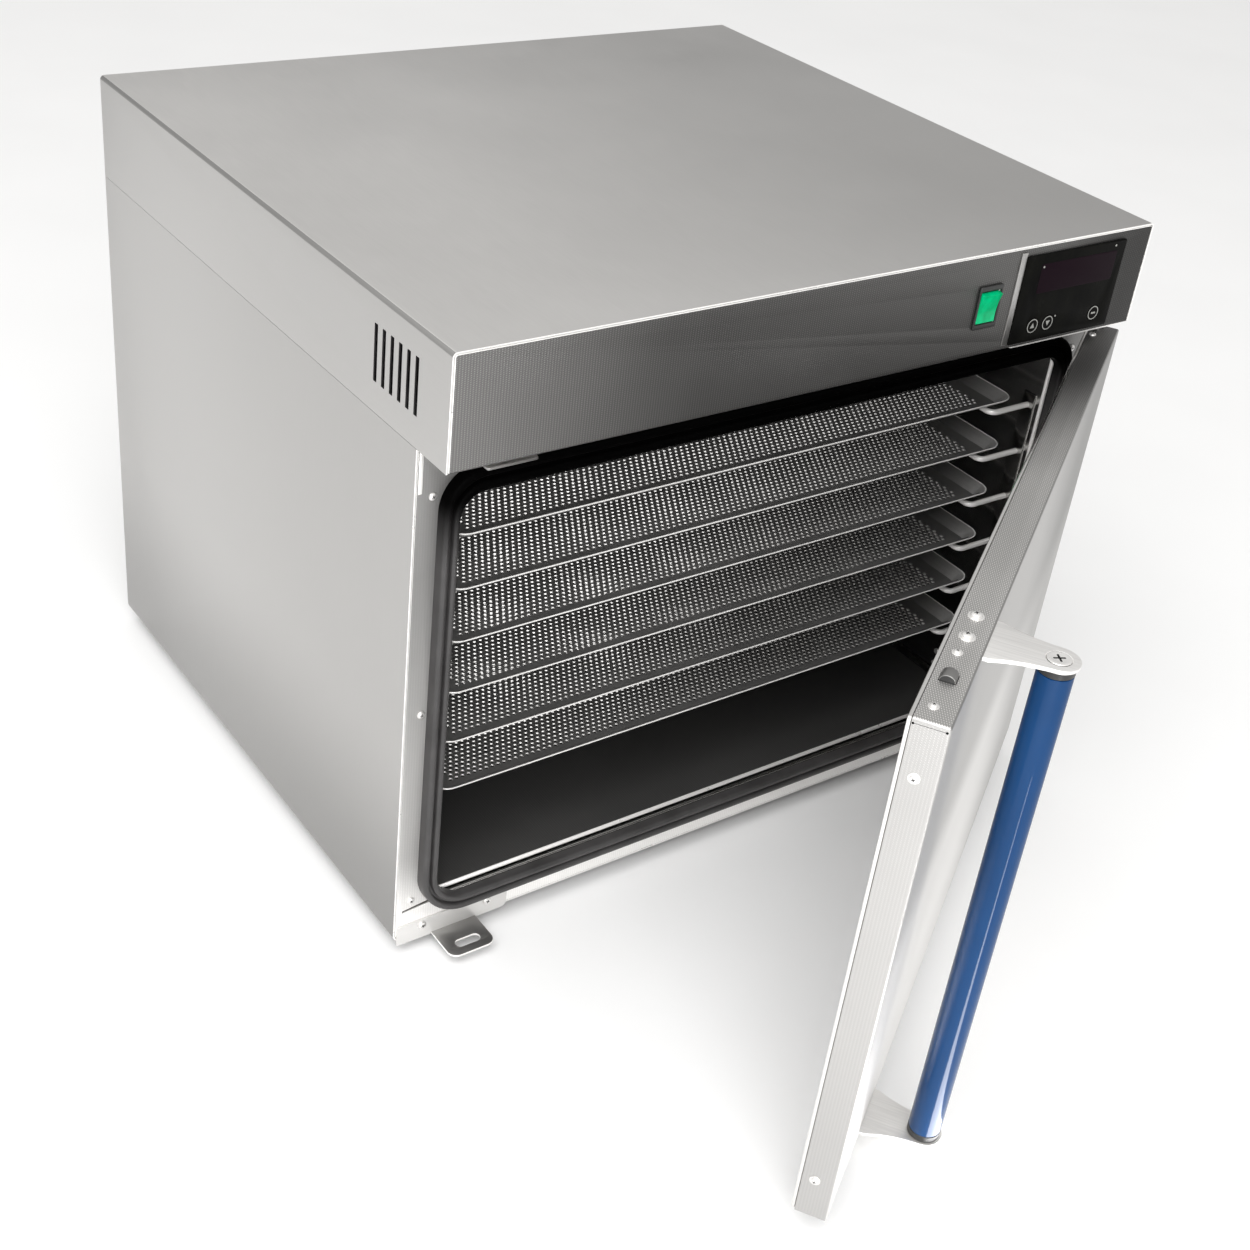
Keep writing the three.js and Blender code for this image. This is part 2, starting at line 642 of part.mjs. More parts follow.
// ---- Brackets, catch plates and hinge pins ----
function addBrackets() {
  // Angle plate screwed to the frame's bottom corner, with a tab turned out under the door.
  function angle(x0, x1, tab0, tab1, hole) {
    const plate = block(x0, x1, FRONT - 2, FRONT - 0.02, -2, 18.5);
    const tab = prism(roundedOutline(tab0, tab1, HOOD_FRONT + 3, FRONT - 1, [9, 9, 0.5, 0.5]), -2, 0);
    return cut(join([plate, tab]), hole ? [hole] : []);
  }
  const slot = prism(roundedOutline(CATCH_X - 12, CATCH_X + 12, CATCH_Y - 4.5, CATCH_Y + 4.5, 4.4), -5, 3);
  add("catch_bracket", angle(-350, -246, -323, -275, slot), brushed);
  add("hinge_bracket", angle(246, 356, 310, 359, null), brushed);

  // The strike hangs below the hood on a stepped back edge.
  const strikeFlat = prism(
    roundedOutline(-324, -280, HOOD_FRONT + 2, FRONT - 9, 2), SEAM - 5.5, SEAM - 3.5);
  const strikeStep = block(-324, -280, FRONT - 11, FRONT - 9, SEAM - 5.5, SEAM - 0.02);
  const strike = join([strikeFlat, strikeStep]);
  const strikeSlot = prism(
    roundedOutline(CATCH_X - 12, CATCH_X + 12, CATCH_Y - 4.5, CATCH_Y + 4.5, 4.4), SEAM - 9, SEAM + 3);
  add("strike_plate", cut(strike, [strikeSlot]), brushed);
  add("hinge_plate", prism(
    roundedOutline(210, 357, HOOD_FRONT + 3, FRONT - 6, 3), SEAM - 3, SEAM - 0.02), brushed);

  const pin = circleOutline(PIN, 12, HINGE_X, HINGE_Y);
  const washer = circleOutline(PIN + 3, 12, HINGE_X, HINGE_Y);
  add("hinge_pin_bottom", join([prism(pin, 0.02, 40), prism(washer, 0.02, 6)]), polished);
  add("hinge_pin_top", join([prism(pin, DOOR_TOP - 28, SEAM - 3.02), prism(washer, DOOR_TOP + 3, SEAM - 3.02)]), polished);
}

// ---- Door ----
function addDoor() {
  const skinBack = DOOR_BACK - DOOR_LINER - 0.2;
  const face = (inset) => roundedOutline(
    -DOOR_HALF + inset, DOOR_HALF - inset, DOOR_BOTTOM + inset, DOOR_TOP - inset, 1.5);
  const pan = loft([
    [face(0.6), DOOR_FRONT],
    [face(0), DOOR_FRONT + 0.8],
    [face(0), skinBack],
    [face(DOOR_SHEET), skinBack],
    [face(DOOR_SHEET), DOOR_FRONT + DOOR_SHEET],
  ], "y");
  const armSlots = [DOOR_BOTTOM + DOOR_SHEET - GAP, DOOR_TOP - DOOR_SHEET - ARM_THICKNESS - GAP].map((z) =>
    block(HANDLE_X - ARM_HALF_ROOT - GAP, HANDLE_X + ARM_HALF_ROOT + GAP, -340, -330, z, z + ARM_THICKNESS + 2 * GAP));
  const catchSlots = [DOOR_BOTTOM, DOOR_TOP].map((z) =>
    block(CATCH_X - CATCH_HALF - GAP, CATCH_X + CATCH_HALF + GAP,
      CATCH_Y - CATCH_HALF - GAP, CATCH_Y + CATCH_HALF + GAP, z - 5, z + 5));
  const bushHoles = [DOOR_BOTTOM, DOOR_TOP].map((z) =>
    prism(circleOutline(PIN + 1.3, 12, HINGE_X, HINGE_Y), z - 5, z + 5));
  addToDoor("door_outer", cut(pan, [...armSlots, ...catchSlots, ...bushHoles]), brushed);
  addToDoor("door_inner", prism(face(1), skinBack + 0.2, DOOR_BACK, "y"), polished);
  addToDoor("door_insulation", block(-350, 334, DOOR_FRONT + 2, skinBack - 0.5, 48, 436), wool);

  for (const [end, low] of [["bottom", DOOR_BOTTOM], ["top", DOOR_TOP - 9]]) {
    const bush = prism(circleOutline(PIN + 1, 12, HINGE_X, HINGE_Y), low, low + 9);
    const bore = prism(circleOutline(PIN + 0.3, 12, HINGE_X, HINGE_Y), low - 5, low + 15);
    addToDoor("hinge_bush_" + end, cut(bush, [bore]), blackPlastic);
  }
}

function addHandle() {
  const gripLow = DOOR_BOTTOM + DOOR_SHEET + ARM_THICKNESS + 0.2;
  const gripHigh = DOOR_TOP - DOOR_SHEET - ARM_THICKNESS - 0.2;
  const round = (radius) => circleOutline(radius, 20, HANDLE_X, HANDLE_Y);
  addToDoor("handle_tube", prism(round(HANDLE_RADIUS), gripLow + COLLAR + 0.1, gripHigh - COLLAR - 0.1), blueTube);
  addToDoor("handle_collar_bottom", prism(round(HANDLE_RADIUS), gripLow, gripLow + COLLAR), blackPlastic);
  addToDoor("handle_collar_top", prism(round(HANDLE_RADIUS), gripHigh - COLLAR, gripHigh), blackPlastic);

  // Flat arm: a broad root inside the door, waisted to a round end over the grip.
  const arm = new THREE.Shape();
  const root = DOOR_FRONT + 14;
  const shoulder = DOOR_FRONT - 4;
  arm.moveTo(HANDLE_X - ARM_HALF_ROOT, root);
  arm.lineTo(HANDLE_X - ARM_HALF_ROOT, shoulder);
  arm.quadraticCurveTo(HANDLE_X - ARM_TIP - 1, HANDLE_Y + 24, HANDLE_X - ARM_TIP, HANDLE_Y);
  arm.absarc(HANDLE_X, HANDLE_Y, ARM_TIP, Math.PI, 2 * Math.PI, false);
  arm.quadraticCurveTo(HANDLE_X + ARM_TIP + 1, HANDLE_Y + 24, HANDLE_X + ARM_HALF_ROOT, shoulder);
  arm.lineTo(HANDLE_X + ARM_HALF_ROOT, root);
  arm.closePath();
  for (const [end, low] of [["bottom", DOOR_BOTTOM + DOOR_SHEET], ["top", DOOR_TOP - DOOR_SHEET - ARM_THICKNESS]]) {
    const plate = new THREE.ExtrudeGeometry(arm, { depth: ARM_THICKNESS, bevelEnabled: false, curveSegments: 5 });
    plate.translate(0, 0, low);
    const [sinkLow, headLow] = end === "top" ? [low + 1.4, low + 1.6] : [low - 2.4, low - 1];
    const sink = prism(circleOutline(9.3, 16, HANDLE_X, HANDLE_Y), sinkLow, sinkLow + 4);
    addToDoor("handle_arm_" + end, cut(plate, [sink]), brushed);
    const head = prism(circleOutline(9, 16, HANDLE_X, HANDLE_Y), headLow, headLow + 2.4);
    addToDoor("handle_screw_" + end, head, polished);
  }
}

// Sprung nose: a block with a rounded crown that snaps into a slot above or below the door.
function addCatches() {
  for (const [end, up, edge, reach] of [["top", 1, DOOR_TOP, 5], ["bottom", -1, DOOR_BOTTOM, 11.6]]) {
    const crown = new THREE.Shape();
    const straight = reach - CATCH_HALF * 0.72;
    crown.moveTo(-CATCH_HALF, -22);
    crown.lineTo(-CATCH_HALF, straight);
    crown.bezierCurveTo(-CATCH_HALF, reach - 1, -CATCH_HALF / 2, reach, 0, reach);
    crown.bezierCurveTo(CATCH_HALF / 2, reach, CATCH_HALF, reach - 1, CATCH_HALF, straight);
    crown.lineTo(CATCH_HALF, -22);
    crown.closePath();
    const nose = new THREE.ExtrudeGeometry(crown, { depth: 2 * CATCH_HALF, bevelEnabled: false, curveSegments: 4 });
    nose.translate(0, 0, -CATCH_HALF).rotateX(Math.PI / 2).rotateZ(Math.PI / 2);
    if (up < 0) nose.rotateY(Math.PI);
    nose.translate(CATCH_X, CATCH_Y, edge);
    addToDoor("catch_" + end, nose, aluminium);
  }
}

addCasing();
addChamber();
addRack("rack_left", -1, RUNNER_IN_LEFT);
addRack("rack_right", 1, RUNNER_IN_RIGHT);
addTrays();
addAirSystem();
addControls();
addLead();
addBrackets();
addDoor();
addHandle();
addCatches();

export default group;
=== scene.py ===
import json
import math

import bmesh
import bpy
import numpy as np
from mathutils import Matrix, Vector
from mathutils.geometry import tessellate_polygon


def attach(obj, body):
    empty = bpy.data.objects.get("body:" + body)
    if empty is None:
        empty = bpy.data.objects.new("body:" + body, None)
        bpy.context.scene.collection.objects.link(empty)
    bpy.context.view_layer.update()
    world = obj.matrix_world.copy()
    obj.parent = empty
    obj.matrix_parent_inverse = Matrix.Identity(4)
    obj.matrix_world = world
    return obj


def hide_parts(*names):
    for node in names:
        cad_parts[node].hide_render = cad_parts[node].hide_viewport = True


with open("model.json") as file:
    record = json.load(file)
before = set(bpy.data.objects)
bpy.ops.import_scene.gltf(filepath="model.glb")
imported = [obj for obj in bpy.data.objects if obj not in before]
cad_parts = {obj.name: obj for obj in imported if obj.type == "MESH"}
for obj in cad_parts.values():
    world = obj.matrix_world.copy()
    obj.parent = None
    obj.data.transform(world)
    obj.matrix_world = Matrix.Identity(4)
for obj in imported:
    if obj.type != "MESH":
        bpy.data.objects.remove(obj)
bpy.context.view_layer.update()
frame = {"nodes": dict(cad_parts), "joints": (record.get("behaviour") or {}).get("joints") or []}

# Countertop proofing cabinet: the looks around the fixed frame.
# Shapes are drawn in millimetres in the row frame: X along the front, Y to the back, Z up.
# Door pieces are drawn closed, and door_matrix swings them to the angle at which the door rests.

MM = 0.001
hinge = next(joint for joint in frame["joints"] if joint["name"] == "door_hinge")
HINGE_X = hinge["pos_m"][0] / MM
HINGE_Y = hinge["pos_m"][1] / MM
DOOR_ANGLE = -hinge["range_deg"][0]
door_matrix = (
    Matrix.Translation((HINGE_X, HINGE_Y, 0))
    @ Matrix.Rotation(math.radians(DOOR_ANGLE), 4, "Z")
    @ Matrix.Translation((-HINGE_X, -HINGE_Y, 0))
)


def span(node, door=False):
    """(x0, x1, y0, y1, z0, z1) of a CAD node in mm; a door node is measured closed."""
    back = door_matrix.inverted() if door else Matrix()
    points = [back @ (v.co / MM) for v in frame["nodes"][node].data.vertices]
    return [end(p[axis] for p in points) for axis in range(3) for end in (min, max)]


LEFT, RIGHT, FRONT, REAR, BOTTOM, SHELL_TOP = span("body_shell")
_, _, HOOD_FRONT, _, SEAM, TOP = span("hood_cover")
SHEET = 1.5
GAP = 0.3
BODY_BEND = 10
HOOD_BEND = 4
EDGE = 0.25  # rounding of a deburred sheet edge
FEET = ["foot_%s_%s" % (end, side) for end in ("front", "rear") for side in ("left", "right")]
FLOOR = BOTTOM - 12
SEAT_RADIUS = 21  # dimple over each foot
SEAT_DEPTH = 1
VENT_SLOTS = 6
VENT_START = 4.5
VENT_PITCH = 12
VENT_WIDTH = 5
LOUVRES = 6
LOUVRE_PITCH = 11
LOUVRE_X = -140
LOUVRE_LENGTH = 100


# ---- Outlines ----
def rounded(x0, x1, y0, y1, radii, steps=6):
    """Rounded rectangle, counter-clockwise; radii run bottom-left, bottom-right, top-right, top-left."""
    a, b, c, d = radii if isinstance(radii, (list, tuple)) else [radii] * 4
    corners = ((x0 + a, y0 + a, a, 2), (x1 - b, y0 + b, b, 3), (x1 - c, y1 - c, c, 0), (x0 + d, y1 - d, d, 1))
    points = []
    for x, y, radius, quarter in corners:
        for i in range(steps + 1):
            angle = (quarter + i / steps) * math.pi / 2
            points.append((x + radius * math.cos(angle), y + radius * math.sin(angle)))
    return points


def circle(radius, sides=32, x=0, y=0):
    return [
        (x + radius * math.cos(2 * math.pi * i / sides), y + radius * math.sin(2 * math.pi * i / sides))
        for i in range(sides)
    ]


def arc(x, y, radius, start, end, steps):
    """Points of an arc; the angles are in degrees."""
    angles = [math.radians(start + (end - start) * i / steps) for i in range(steps + 1)]
    return [(x + radius * math.cos(a), y + radius * math.sin(a)) for a in angles]


def grow(outline, amount):
    """The outline moved outwards by a mitred offset."""
    moved = []
    for i, (x, y) in enumerate(outline):
        px, py = outline[i - 1]
        qx, qy = outline[(i + 1) % len(outline)]
        before = Vector((x - px, y - py)).normalized()
        after = Vector((qx - x, qy - y)).normalized()
        scale = amount / (1 + before.dot(after))
        moved.append((x + (before.y + after.y) * scale, y - (before.x + after.x) * scale))
    return moved


def lying(u, v, w):
    """Outline in X-Y, thickness along Z."""
    return (u, v, w)


def facing(u, v, w):
    """Outline in X-Z, thickness along Y."""
    return (u, w, v)


def sideways(u, v, w):
    """Outline in Y-Z, thickness along X."""
    return (w, u, v)


# ---- Solids ----
class Shape:
    """Points in mm, faces, and the finish number of each face."""

    def __init__(self):
        self.points = []
        self.faces = []
        self.finishes = []

    def add(self, points, faces, finish=0):
        start = len(self.points)
        self.points.extend(Vector(p) for p in points)
        self.faces.extend([start + i for i in face] for face in faces)
        self.finishes.extend([finish] * len(faces))
        return self

    def join(self, *others):
        for other in others:
            start = len(self.points)
            self.points.extend(other.points)
            self.faces.extend([start + i for i in face] for face in other.faces)
            self.finishes.extend(other.finishes)
        return self

    def moved(self, matrix):
        copy = Shape()
        copy.points = [matrix @ p for p in self.points]
        copy.faces = self.faces
        copy.finishes = self.finishes
        return copy

    def painted(self, finish):
        self.finishes = [finish] * len(self.faces)
        return self


def loft(sections, ring=False, caps=True, finish=0):
    """Skin over sections of equal length; with ring the last section joins the first."""
    count = len(sections[0])
    points = [p for section in sections for p in section]
    faces = []
    last = len(sections) if ring else len(sections) - 1
    for s in range(last):
        low = s * count
        high = (s + 1) % len(sections) * count
        for i in range(count):
            j = (i + 1) % count
            faces.append([low + i, low + j, high + j, high + i])
    if caps and not ring:
        faces.append(list(range(count - 1, -1, -1)))
        faces.append(list(range(len(points) - count, len(points))))
    return Shape().add(points, faces, finish)


def rounded_levels(low, high, edge, steps):
    """(height, inset) pairs of a plate's side, with both edges rounded."""
    turns = [i / steps * math.pi / 2 for i in range(steps + 1)]
    rise = [(low + edge * (1 - math.cos(a)), edge * (1 - math.sin(a))) for a in turns]
    fall = [(high - edge * (1 - math.cos(a)), edge * (1 - math.sin(a))) for a in reversed(turns)]
    return rise + fall


def plate(outer, holes, low, high, place, edge=EDGE, steps=2, finish=0, edge_finish=None):
    """Flat plate with holes and rounded edges."""
    levels = rounded_levels(low, high, edge, steps)
    edge_finish = finish if edge_finish is None else edge_finish
    shape = Shape()
    first_rings = []
    last_rings = []
    for number, outline in enumerate([outer] + list(holes)):
        sign = -1 if number == 0 else 1
        rings = [[place(u, v, height) for u, v in grow(outline, sign * inset)] for height, inset in levels]
        start = len(shape.points)
        shape.join(loft(rings, caps=False, finish=edge_finish))
        count = len(outline)
        first_rings.append([start + i for i in range(count)])
        last_rings.append([start + (len(levels) - 1) * count + i for i in range(count)])
    for rings in (first_rings, last_rings):
        flat = [i for ring in rings for i in ring]
        if holes:
            loops = [[shape.points[i] for i in ring] for ring in rings]
            faces = [[flat[i] for i in triangle] for triangle in tessellate_polygon(loops)]
        else:
            faces = [flat]
        shape.faces.extend(faces)
        shape.finishes.extend([finish] * len(faces))
    return shape


def folded(bend, closed_at, open_at):
    """Outline of sheet folded to a U: two walls and the side that joins them."""
    up = 1 if open_at > closed_at else -1
    profile = [(LEFT, open_at)]
    for radius, direction in ((bend, 1), (bend - SHEET, -1)):
        centre_z = closed_at + up * bend
        left = arc(LEFT + bend, 0, radius, 180, 270, 8)
        right = arc(RIGHT - bend, 0, radius, 270, 360, 8)
        bends = [(x, centre_z + up * z) for x, z in left + right]
        if direction > 0:
            profile += bends + [(RIGHT, open_at), (RIGHT - SHEET, open_at)]
        else:
            profile += bends[::-1] + [(LEFT + SHEET, open_at)]
    return profile if up > 0 else profile[::-1]


def tube(path, radius, sides=12, finish=0):
    """Round wire along a path, mitred at each point."""
    path = [Vector(p) for p in path]
    directions = [(b - a).normalized() for a, b in zip(path, path[1:])]
    side = directions[0].orthogonal().normalized()
    sections = []
    for i, point in enumerate(path):
        before = directions[max(i - 1, 0)]
        after = directions[min(i, len(directions) - 1)]
        mitre = (before + after).normalized()
        other = before.cross(side)
        ring = []
        for u, v in circle(radius, sides):
            offset = side * u + other * v
            ring.append(point + offset - before * (offset.dot(mitre) / before.dot(mitre)))
        sections.append(ring)
        side = before.rotation_difference(after) @ side
    return loft(sections, finish=finish)


def standing(sections):
    """Sections for a loft from (outline in X-Z, place along Y) pairs."""
    return [[facing(u, v, y) for u, v in outline] for outline, y in sections]


def lathe(profile, place, x=0, y=0, sides=40, finish=0):
    """Solid of revolution from (radius, height) pairs; both ends are capped."""
    sections = [[place(u, v, height) for u, v in circle(radius, sides, x, y)] for radius, height in profile]
    return loft(sections, finish=finish)


def build_mesh(name, shape, sharp=30, flat_front=False):
    """Mesh in metres, smooth up to the sharp angle; flat_front keeps the faces along Y evenly shaded."""
    mesh = bpy.data.meshes.new(name)
    mesh.from_pydata([p * MM for p in shape.points], [], shape.faces)
    mesh.polygons.foreach_set("material_index", shape.finishes)
    work = bmesh.new()
    work.from_mesh(mesh)
    bmesh.ops.remove_doubles(work, verts=work.verts, dist=1e-6)
    bmesh.ops.recalc_face_normals(work, faces=work.faces)
    work.to_mesh(mesh)
    work.free()
    mesh.polygons.foreach_set("use_smooth", [True] * len(mesh.polygons))
    mesh.set_sharp_from_angle(angle=math.radians(sharp))
    if flat_front:
        mesh.polygons.foreach_set("use_smooth", [abs(f.normal.y) < 0.999 for f in mesh.polygons])
    return mesh


def cut(shape, tools):
    """The shape with the tools cut away."""
    objects = []
    for name, part in (("base", shape), ("tool", Shape().join(*tools))):
        item = bpy.data.objects.new(name, build_mesh(name, part))
        bpy.context.scene.collection.objects.link(item)
        objects.append(item)
    base, tool = objects
    modifier = base.modifiers.new("cut", "BOOLEAN")
    modifier.operation = "DIFFERENCE"
    modifier.solver = "EXACT"
    modifier.object = tool
    graph = bpy.context.evaluated_depsgraph_get()
    mesh = bpy.data.meshes.new_from_object(base.evaluated_get(graph))
    result = Shape()
    result.points = [v.co / MM for v in mesh.vertices]
    result.faces = [list(f.vertices) for f in mesh.polygons]
    result.finishes = [f.material_index for f in mesh.polygons]
    for item in objects:
        data = item.data
        bpy.data.objects.remove(item)
        bpy.data.meshes.remove(data)
    bpy.data.meshes.remove(mesh)
    return result


def add_object(name, mesh, body, replaces=None, lift=0.0):
    """Puts a mesh in the scene, riding on a body; lift is in metres."""
    item = bpy.data.objects.new(name, mesh)
    bpy.context.scene.collection.objects.link(item)
    item.location.z = lift
    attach(item, body)
    if replaces:
        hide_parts(replaces)


def dressed(mesh, finishes):
    for finish in finishes:
        mesh.materials.append(finish)
    return mesh


def piece(name, shape, body, slot, finishes, replaces=None, door=False, sharp=30, flat_front=False):
    """Makes an object from a shape and lets it ride on a body."""
    mesh = build_mesh(name, shape.moved(door_matrix) if door else shape, sharp, flat_front)
    add_object(name, dressed(mesh, finishes), body, replaces)


def remake(node_name, shape, body, slot, finishes, **options):
    """Makes the piece that is seen in place of a CAD node."""
    piece(node_name + "_fine", shape, body, slot, finishes, node_name, **options)


# ---- Finishes ----
def node(tree, kind, inputs=None, **settings):
    """Adds a node; an input is a value or another node's output."""
    made = tree.nodes.new(kind)
    for key, value in settings.items():
        setattr(made, key, value)
    for key, value in (inputs or {}).items():
        if isinstance(value, bpy.types.NodeSocket):
            tree.links.new(value, made.inputs[key])
        else:
            made.inputs[key].default_value = value
    return made


def math_node(tree, operation, *values):
    """Output of a Math node."""
    return node(tree, "ShaderNodeMath", dict(enumerate(values)), operation=operation).outputs[0]


class Finish:
    """A material under construction, with helpers for its patterns."""

    def __init__(self, name, turn=0.0):
        self.material = bpy.data.materials.new(name)
        self.material.use_nodes = True
        self.tree = self.material.node_tree
        self.bsdf = self.tree.nodes["Principled BSDF"]
        coords = node(self.tree, "ShaderNodeTexCoord").outputs["Object"]
        turned = node(self.tree, "ShaderNodeMapping", {"Vector": coords})
        turned.inputs["Rotation"].default_value = (0, 0, math.radians(-turn))
        self.place = turned.outputs[0]

    def noise(self, per_metre, detail=3.0, rough=0.55):
        """Noise between 0 and 1; per_metre is its frequency along X, Y and Z."""
        stretched = node(self.tree, "ShaderNodeMapping", {"Vector": self.place})
        stretched.inputs["Scale"].default_value = per_metre
        inputs = {"Vector": stretched.outputs[0], "Scale": 1.0, "Detail": detail, "Roughness": rough}
        return node(self.tree, "ShaderNodeTexNoise", inputs).outputs["Fac"]

    def blend(self, factor, low, high):
        """Number between low and high; the factor runs from 0.3 to 0.7 as noise does."""
        inputs = {"Value": factor, "From Min": 0.3, "From Max": 0.7, "To Min": low, "To Max": high}
        return node(self.tree, "ShaderNodeMapRange", inputs).outputs[0]

    def tint(self, factor, low, high):
        """Colour between low and high."""
        ramp = node(self.tree, "ShaderNodeValToRGB", {"Fac": factor})
        ramp.color_ramp.elements[0].position = 0.3
        ramp.color_ramp.elements[0].color = (*low, 1)
        ramp.color_ramp.elements[1].position = 0.7
        ramp.color_ramp.elements[1].color = (*high, 1)
        return ramp.outputs[0]

    def fade(self, axis, low, high, start, end):
        """Number that runs from start to end between two places in mm along an axis."""
        part = node(self.tree, "ShaderNodeSeparateXYZ", {"Vector": self.place}).outputs[axis]
        inputs = {"Value": part, "From Min": low * MM, "From Max": high * MM, "To Min": start, "To Max": end}
        return node(self.tree, "ShaderNodeMapRange", inputs, interpolation_type="SMOOTHSTEP").outputs[0]

    def faded(self, color, fades):
        """The colour after each of the fades."""
        for item in fades:
            color = self.darken(color, self.fade(*item))
        return color

    def darken(self, color, amount):
        """The colour multiplied by a number."""
        scaled = node(self.tree, "ShaderNodeVectorMath", {0: color}, operation="SCALE")
        self.tree.links.new(amount, scaled.inputs["Scale"])
        return scaled.outputs[0]

    def set(self, **inputs):
        """Gives inputs of the shader a value or another node's output."""
        for key, value in inputs.items():
            socket = self.bsdf.inputs[key.replace("_", " ")]
            if isinstance(value, bpy.types.NodeSocket):
                self.tree.links.new(value, socket)
            else:
                socket.default_value = value

    def bump(self, height, distance):
        """Relief of so many millimetres."""
        inputs = {"Height": height, "Distance": distance * MM, "Strength": 1.0}
        self.set(Normal=node(self.tree, "ShaderNodeBump", inputs).outputs[0])


def shade(color, amount):
    """The colour with each part multiplied by a number."""
    return tuple(c * amount for c in color)


X, Y, Z = 0, 1, 2
WARM = (1.0, 0.985, 0.965)  # tint of all the bare metal
DASH_COLUMN, DASH_ROW = 2.4, 1.7  # pitch of the embossed dashes


def brushed(name, tone, rough, grain=(900, 30, 900), mottle=0.03, turn=0.0, depth=0.004, fades=(), metal=1.0):
    """Satin sheet: fine lines along the grain, a little cloudiness."""
    made = Finish(name, turn)
    lines = made.noise(grain, 4.0)
    cloud = made.noise((7, 7, 7), 3.0)
    mixed = math_node(made.tree, "MULTIPLY_ADD", lines, 0.55, math_node(made.tree, "MULTIPLY", cloud, 0.45))
    color = made.tint(mixed, shade(WARM, tone * (1 - mottle)), shade(WARM, tone * (1 + mottle)))
    made.set(Base_Color=made.faded(color, fades))
    made.set(Metallic=metal, Roughness=made.blend(mixed, rough * 0.88, rough * 1.12))
    made.bump(lines, depth)
    return made.material


def linen(name, tone, rough, across="x", turn=0.0, depth=0.05, contrast=0.25, fades=(), metal=1.0):
    """Sheet embossed with columns of small slanting dashes; across names the columns' axis."""
    made = Finish(name, turn)

    def calc(operation, *values):
        return math_node(made.tree, operation, *values)

    parts = node(made.tree, "ShaderNodeSeparateXYZ", {"Vector": made.place}).outputs
    axes = {"x": (parts[X], parts[Z]), "y": (parts[Y], parts[Z]), "flat": (parts[X], parts[Y])}[across]
    u = calc("DIVIDE", axes[0], DASH_COLUMN * MM)
    stagger = calc("MULTIPLY", calc("FLOOR", u), 0.5)
    v = calc("ADD", calc("DIVIDE", axes[1], DASH_ROW * MM), stagger)
    a = calc("SUBTRACT", calc("FRACT", u), 0.5)
    b = calc("SUBTRACT", calc("FRACT", v), 0.5)
    slant = calc("MULTIPLY", calc("ADD", a, b), 1.1)
    width = calc("MULTIPLY", calc("SUBTRACT", a, b), 2.4)
    distance = calc("SQRT", calc("ADD", calc("POWER", slant, 2.0), calc("POWER", width, 2.0)))
    inputs = {"Value": distance, "From Min": 0.25, "From Max": 0.75, "To Min": 1.0, "To Max": 0.0}
    dash = node(made.tree, "ShaderNodeMapRange", inputs, interpolation_type="SMOOTHSTEP").outputs[0]
    cloud = made.noise((6, 6, 6), 3.0)
    level = calc("MULTIPLY_ADD", dash, contrast, 1 - contrast * 0.4)
    color = made.tint(cloud, shade(WARM, tone * 0.96), shade(WARM, tone * 1.04))
    made.set(Base_Color=made.faded(made.darken(color, level), fades), Metallic=metal)
    made.set(Roughness=made.blend(cloud, rough * 0.9, rough * 1.1))
    made.bump(dash, depth)
    return made.material


def polished(name, tone, rough, smear=0.35, turn=0.0, fades=(), metal=1.0):
    """Bright sheet with faint streaks and fingermarks."""
    made = Finish(name, turn)
    smears = made.noise((14, 14, 22), 5.0, 0.65)
    fine = made.noise((400, 400, 30), 3.0)
    color = made.tint(smears, shade(WARM, tone * 0.92), shade(WARM, tone))
    made.set(Base_Color=made.faded(color, fades), Metallic=metal)
    made.set(Roughness=made.blend(smears, rough, rough * (1 + smear)))
    made.bump(fine, 0.003)
    return made.material


def moulded(name, color, rough, grain=1400, depth=0.02, sheen=0.5, fades=()):
    """Plastic or rubber with a fine texture and slightly uneven gloss; fades paint shade into its colour and
    sheen.
    """
    made = Finish(name)
    fine = made.noise((grain, grain, grain), 2.0)
    cloud = made.noise((40, 40, 40), 3.0)
    made.set(Base_Color=made.faded(made.tint(cloud, shade(color, 0.8), shade(color, 1.25)), fades))
    made.set(Roughness=made.blend(cloud, rough * 0.85, rough * 1.15), Specular_IOR_Level=sheen)
    if fades:
        made.set(Specular_IOR_Level=math_node(made.tree, "MULTIPLY", made.fade(*fades[0]), sheen))
    made.bump(fine, depth)
    return made.material


def used_aluminium(name, tone, rough, metal=0.95, fades=()):
    """Tray sheet: dull, with scratches both ways and darker patches."""
    made = Finish(name)
    tree = made.tree
    along = made.noise((25, 700, 700), 3.0)
    across = made.noise((700, 30, 700), 3.0)
    patches = made.noise((18, 18, 18), 5.0, 0.6)
    scratches = math_node(tree, "MULTIPLY_ADD", along, 0.5, math_node(tree, "MULTIPLY", across, 0.5))
    mixed = math_node(tree, "MULTIPLY_ADD", patches, 0.6, math_node(tree, "MULTIPLY", scratches, 0.4))
    color = made.tint(mixed, shade(WARM, tone * 0.85), shade(WARM, tone * 1.15))
    made.set(Base_Color=made.faded(color, fades), Metallic=metal)
    made.set(Roughness=made.blend(mixed, rough * 0.85, rough * 1.2))
    made.bump(scratches, 0.006)
    return made.material
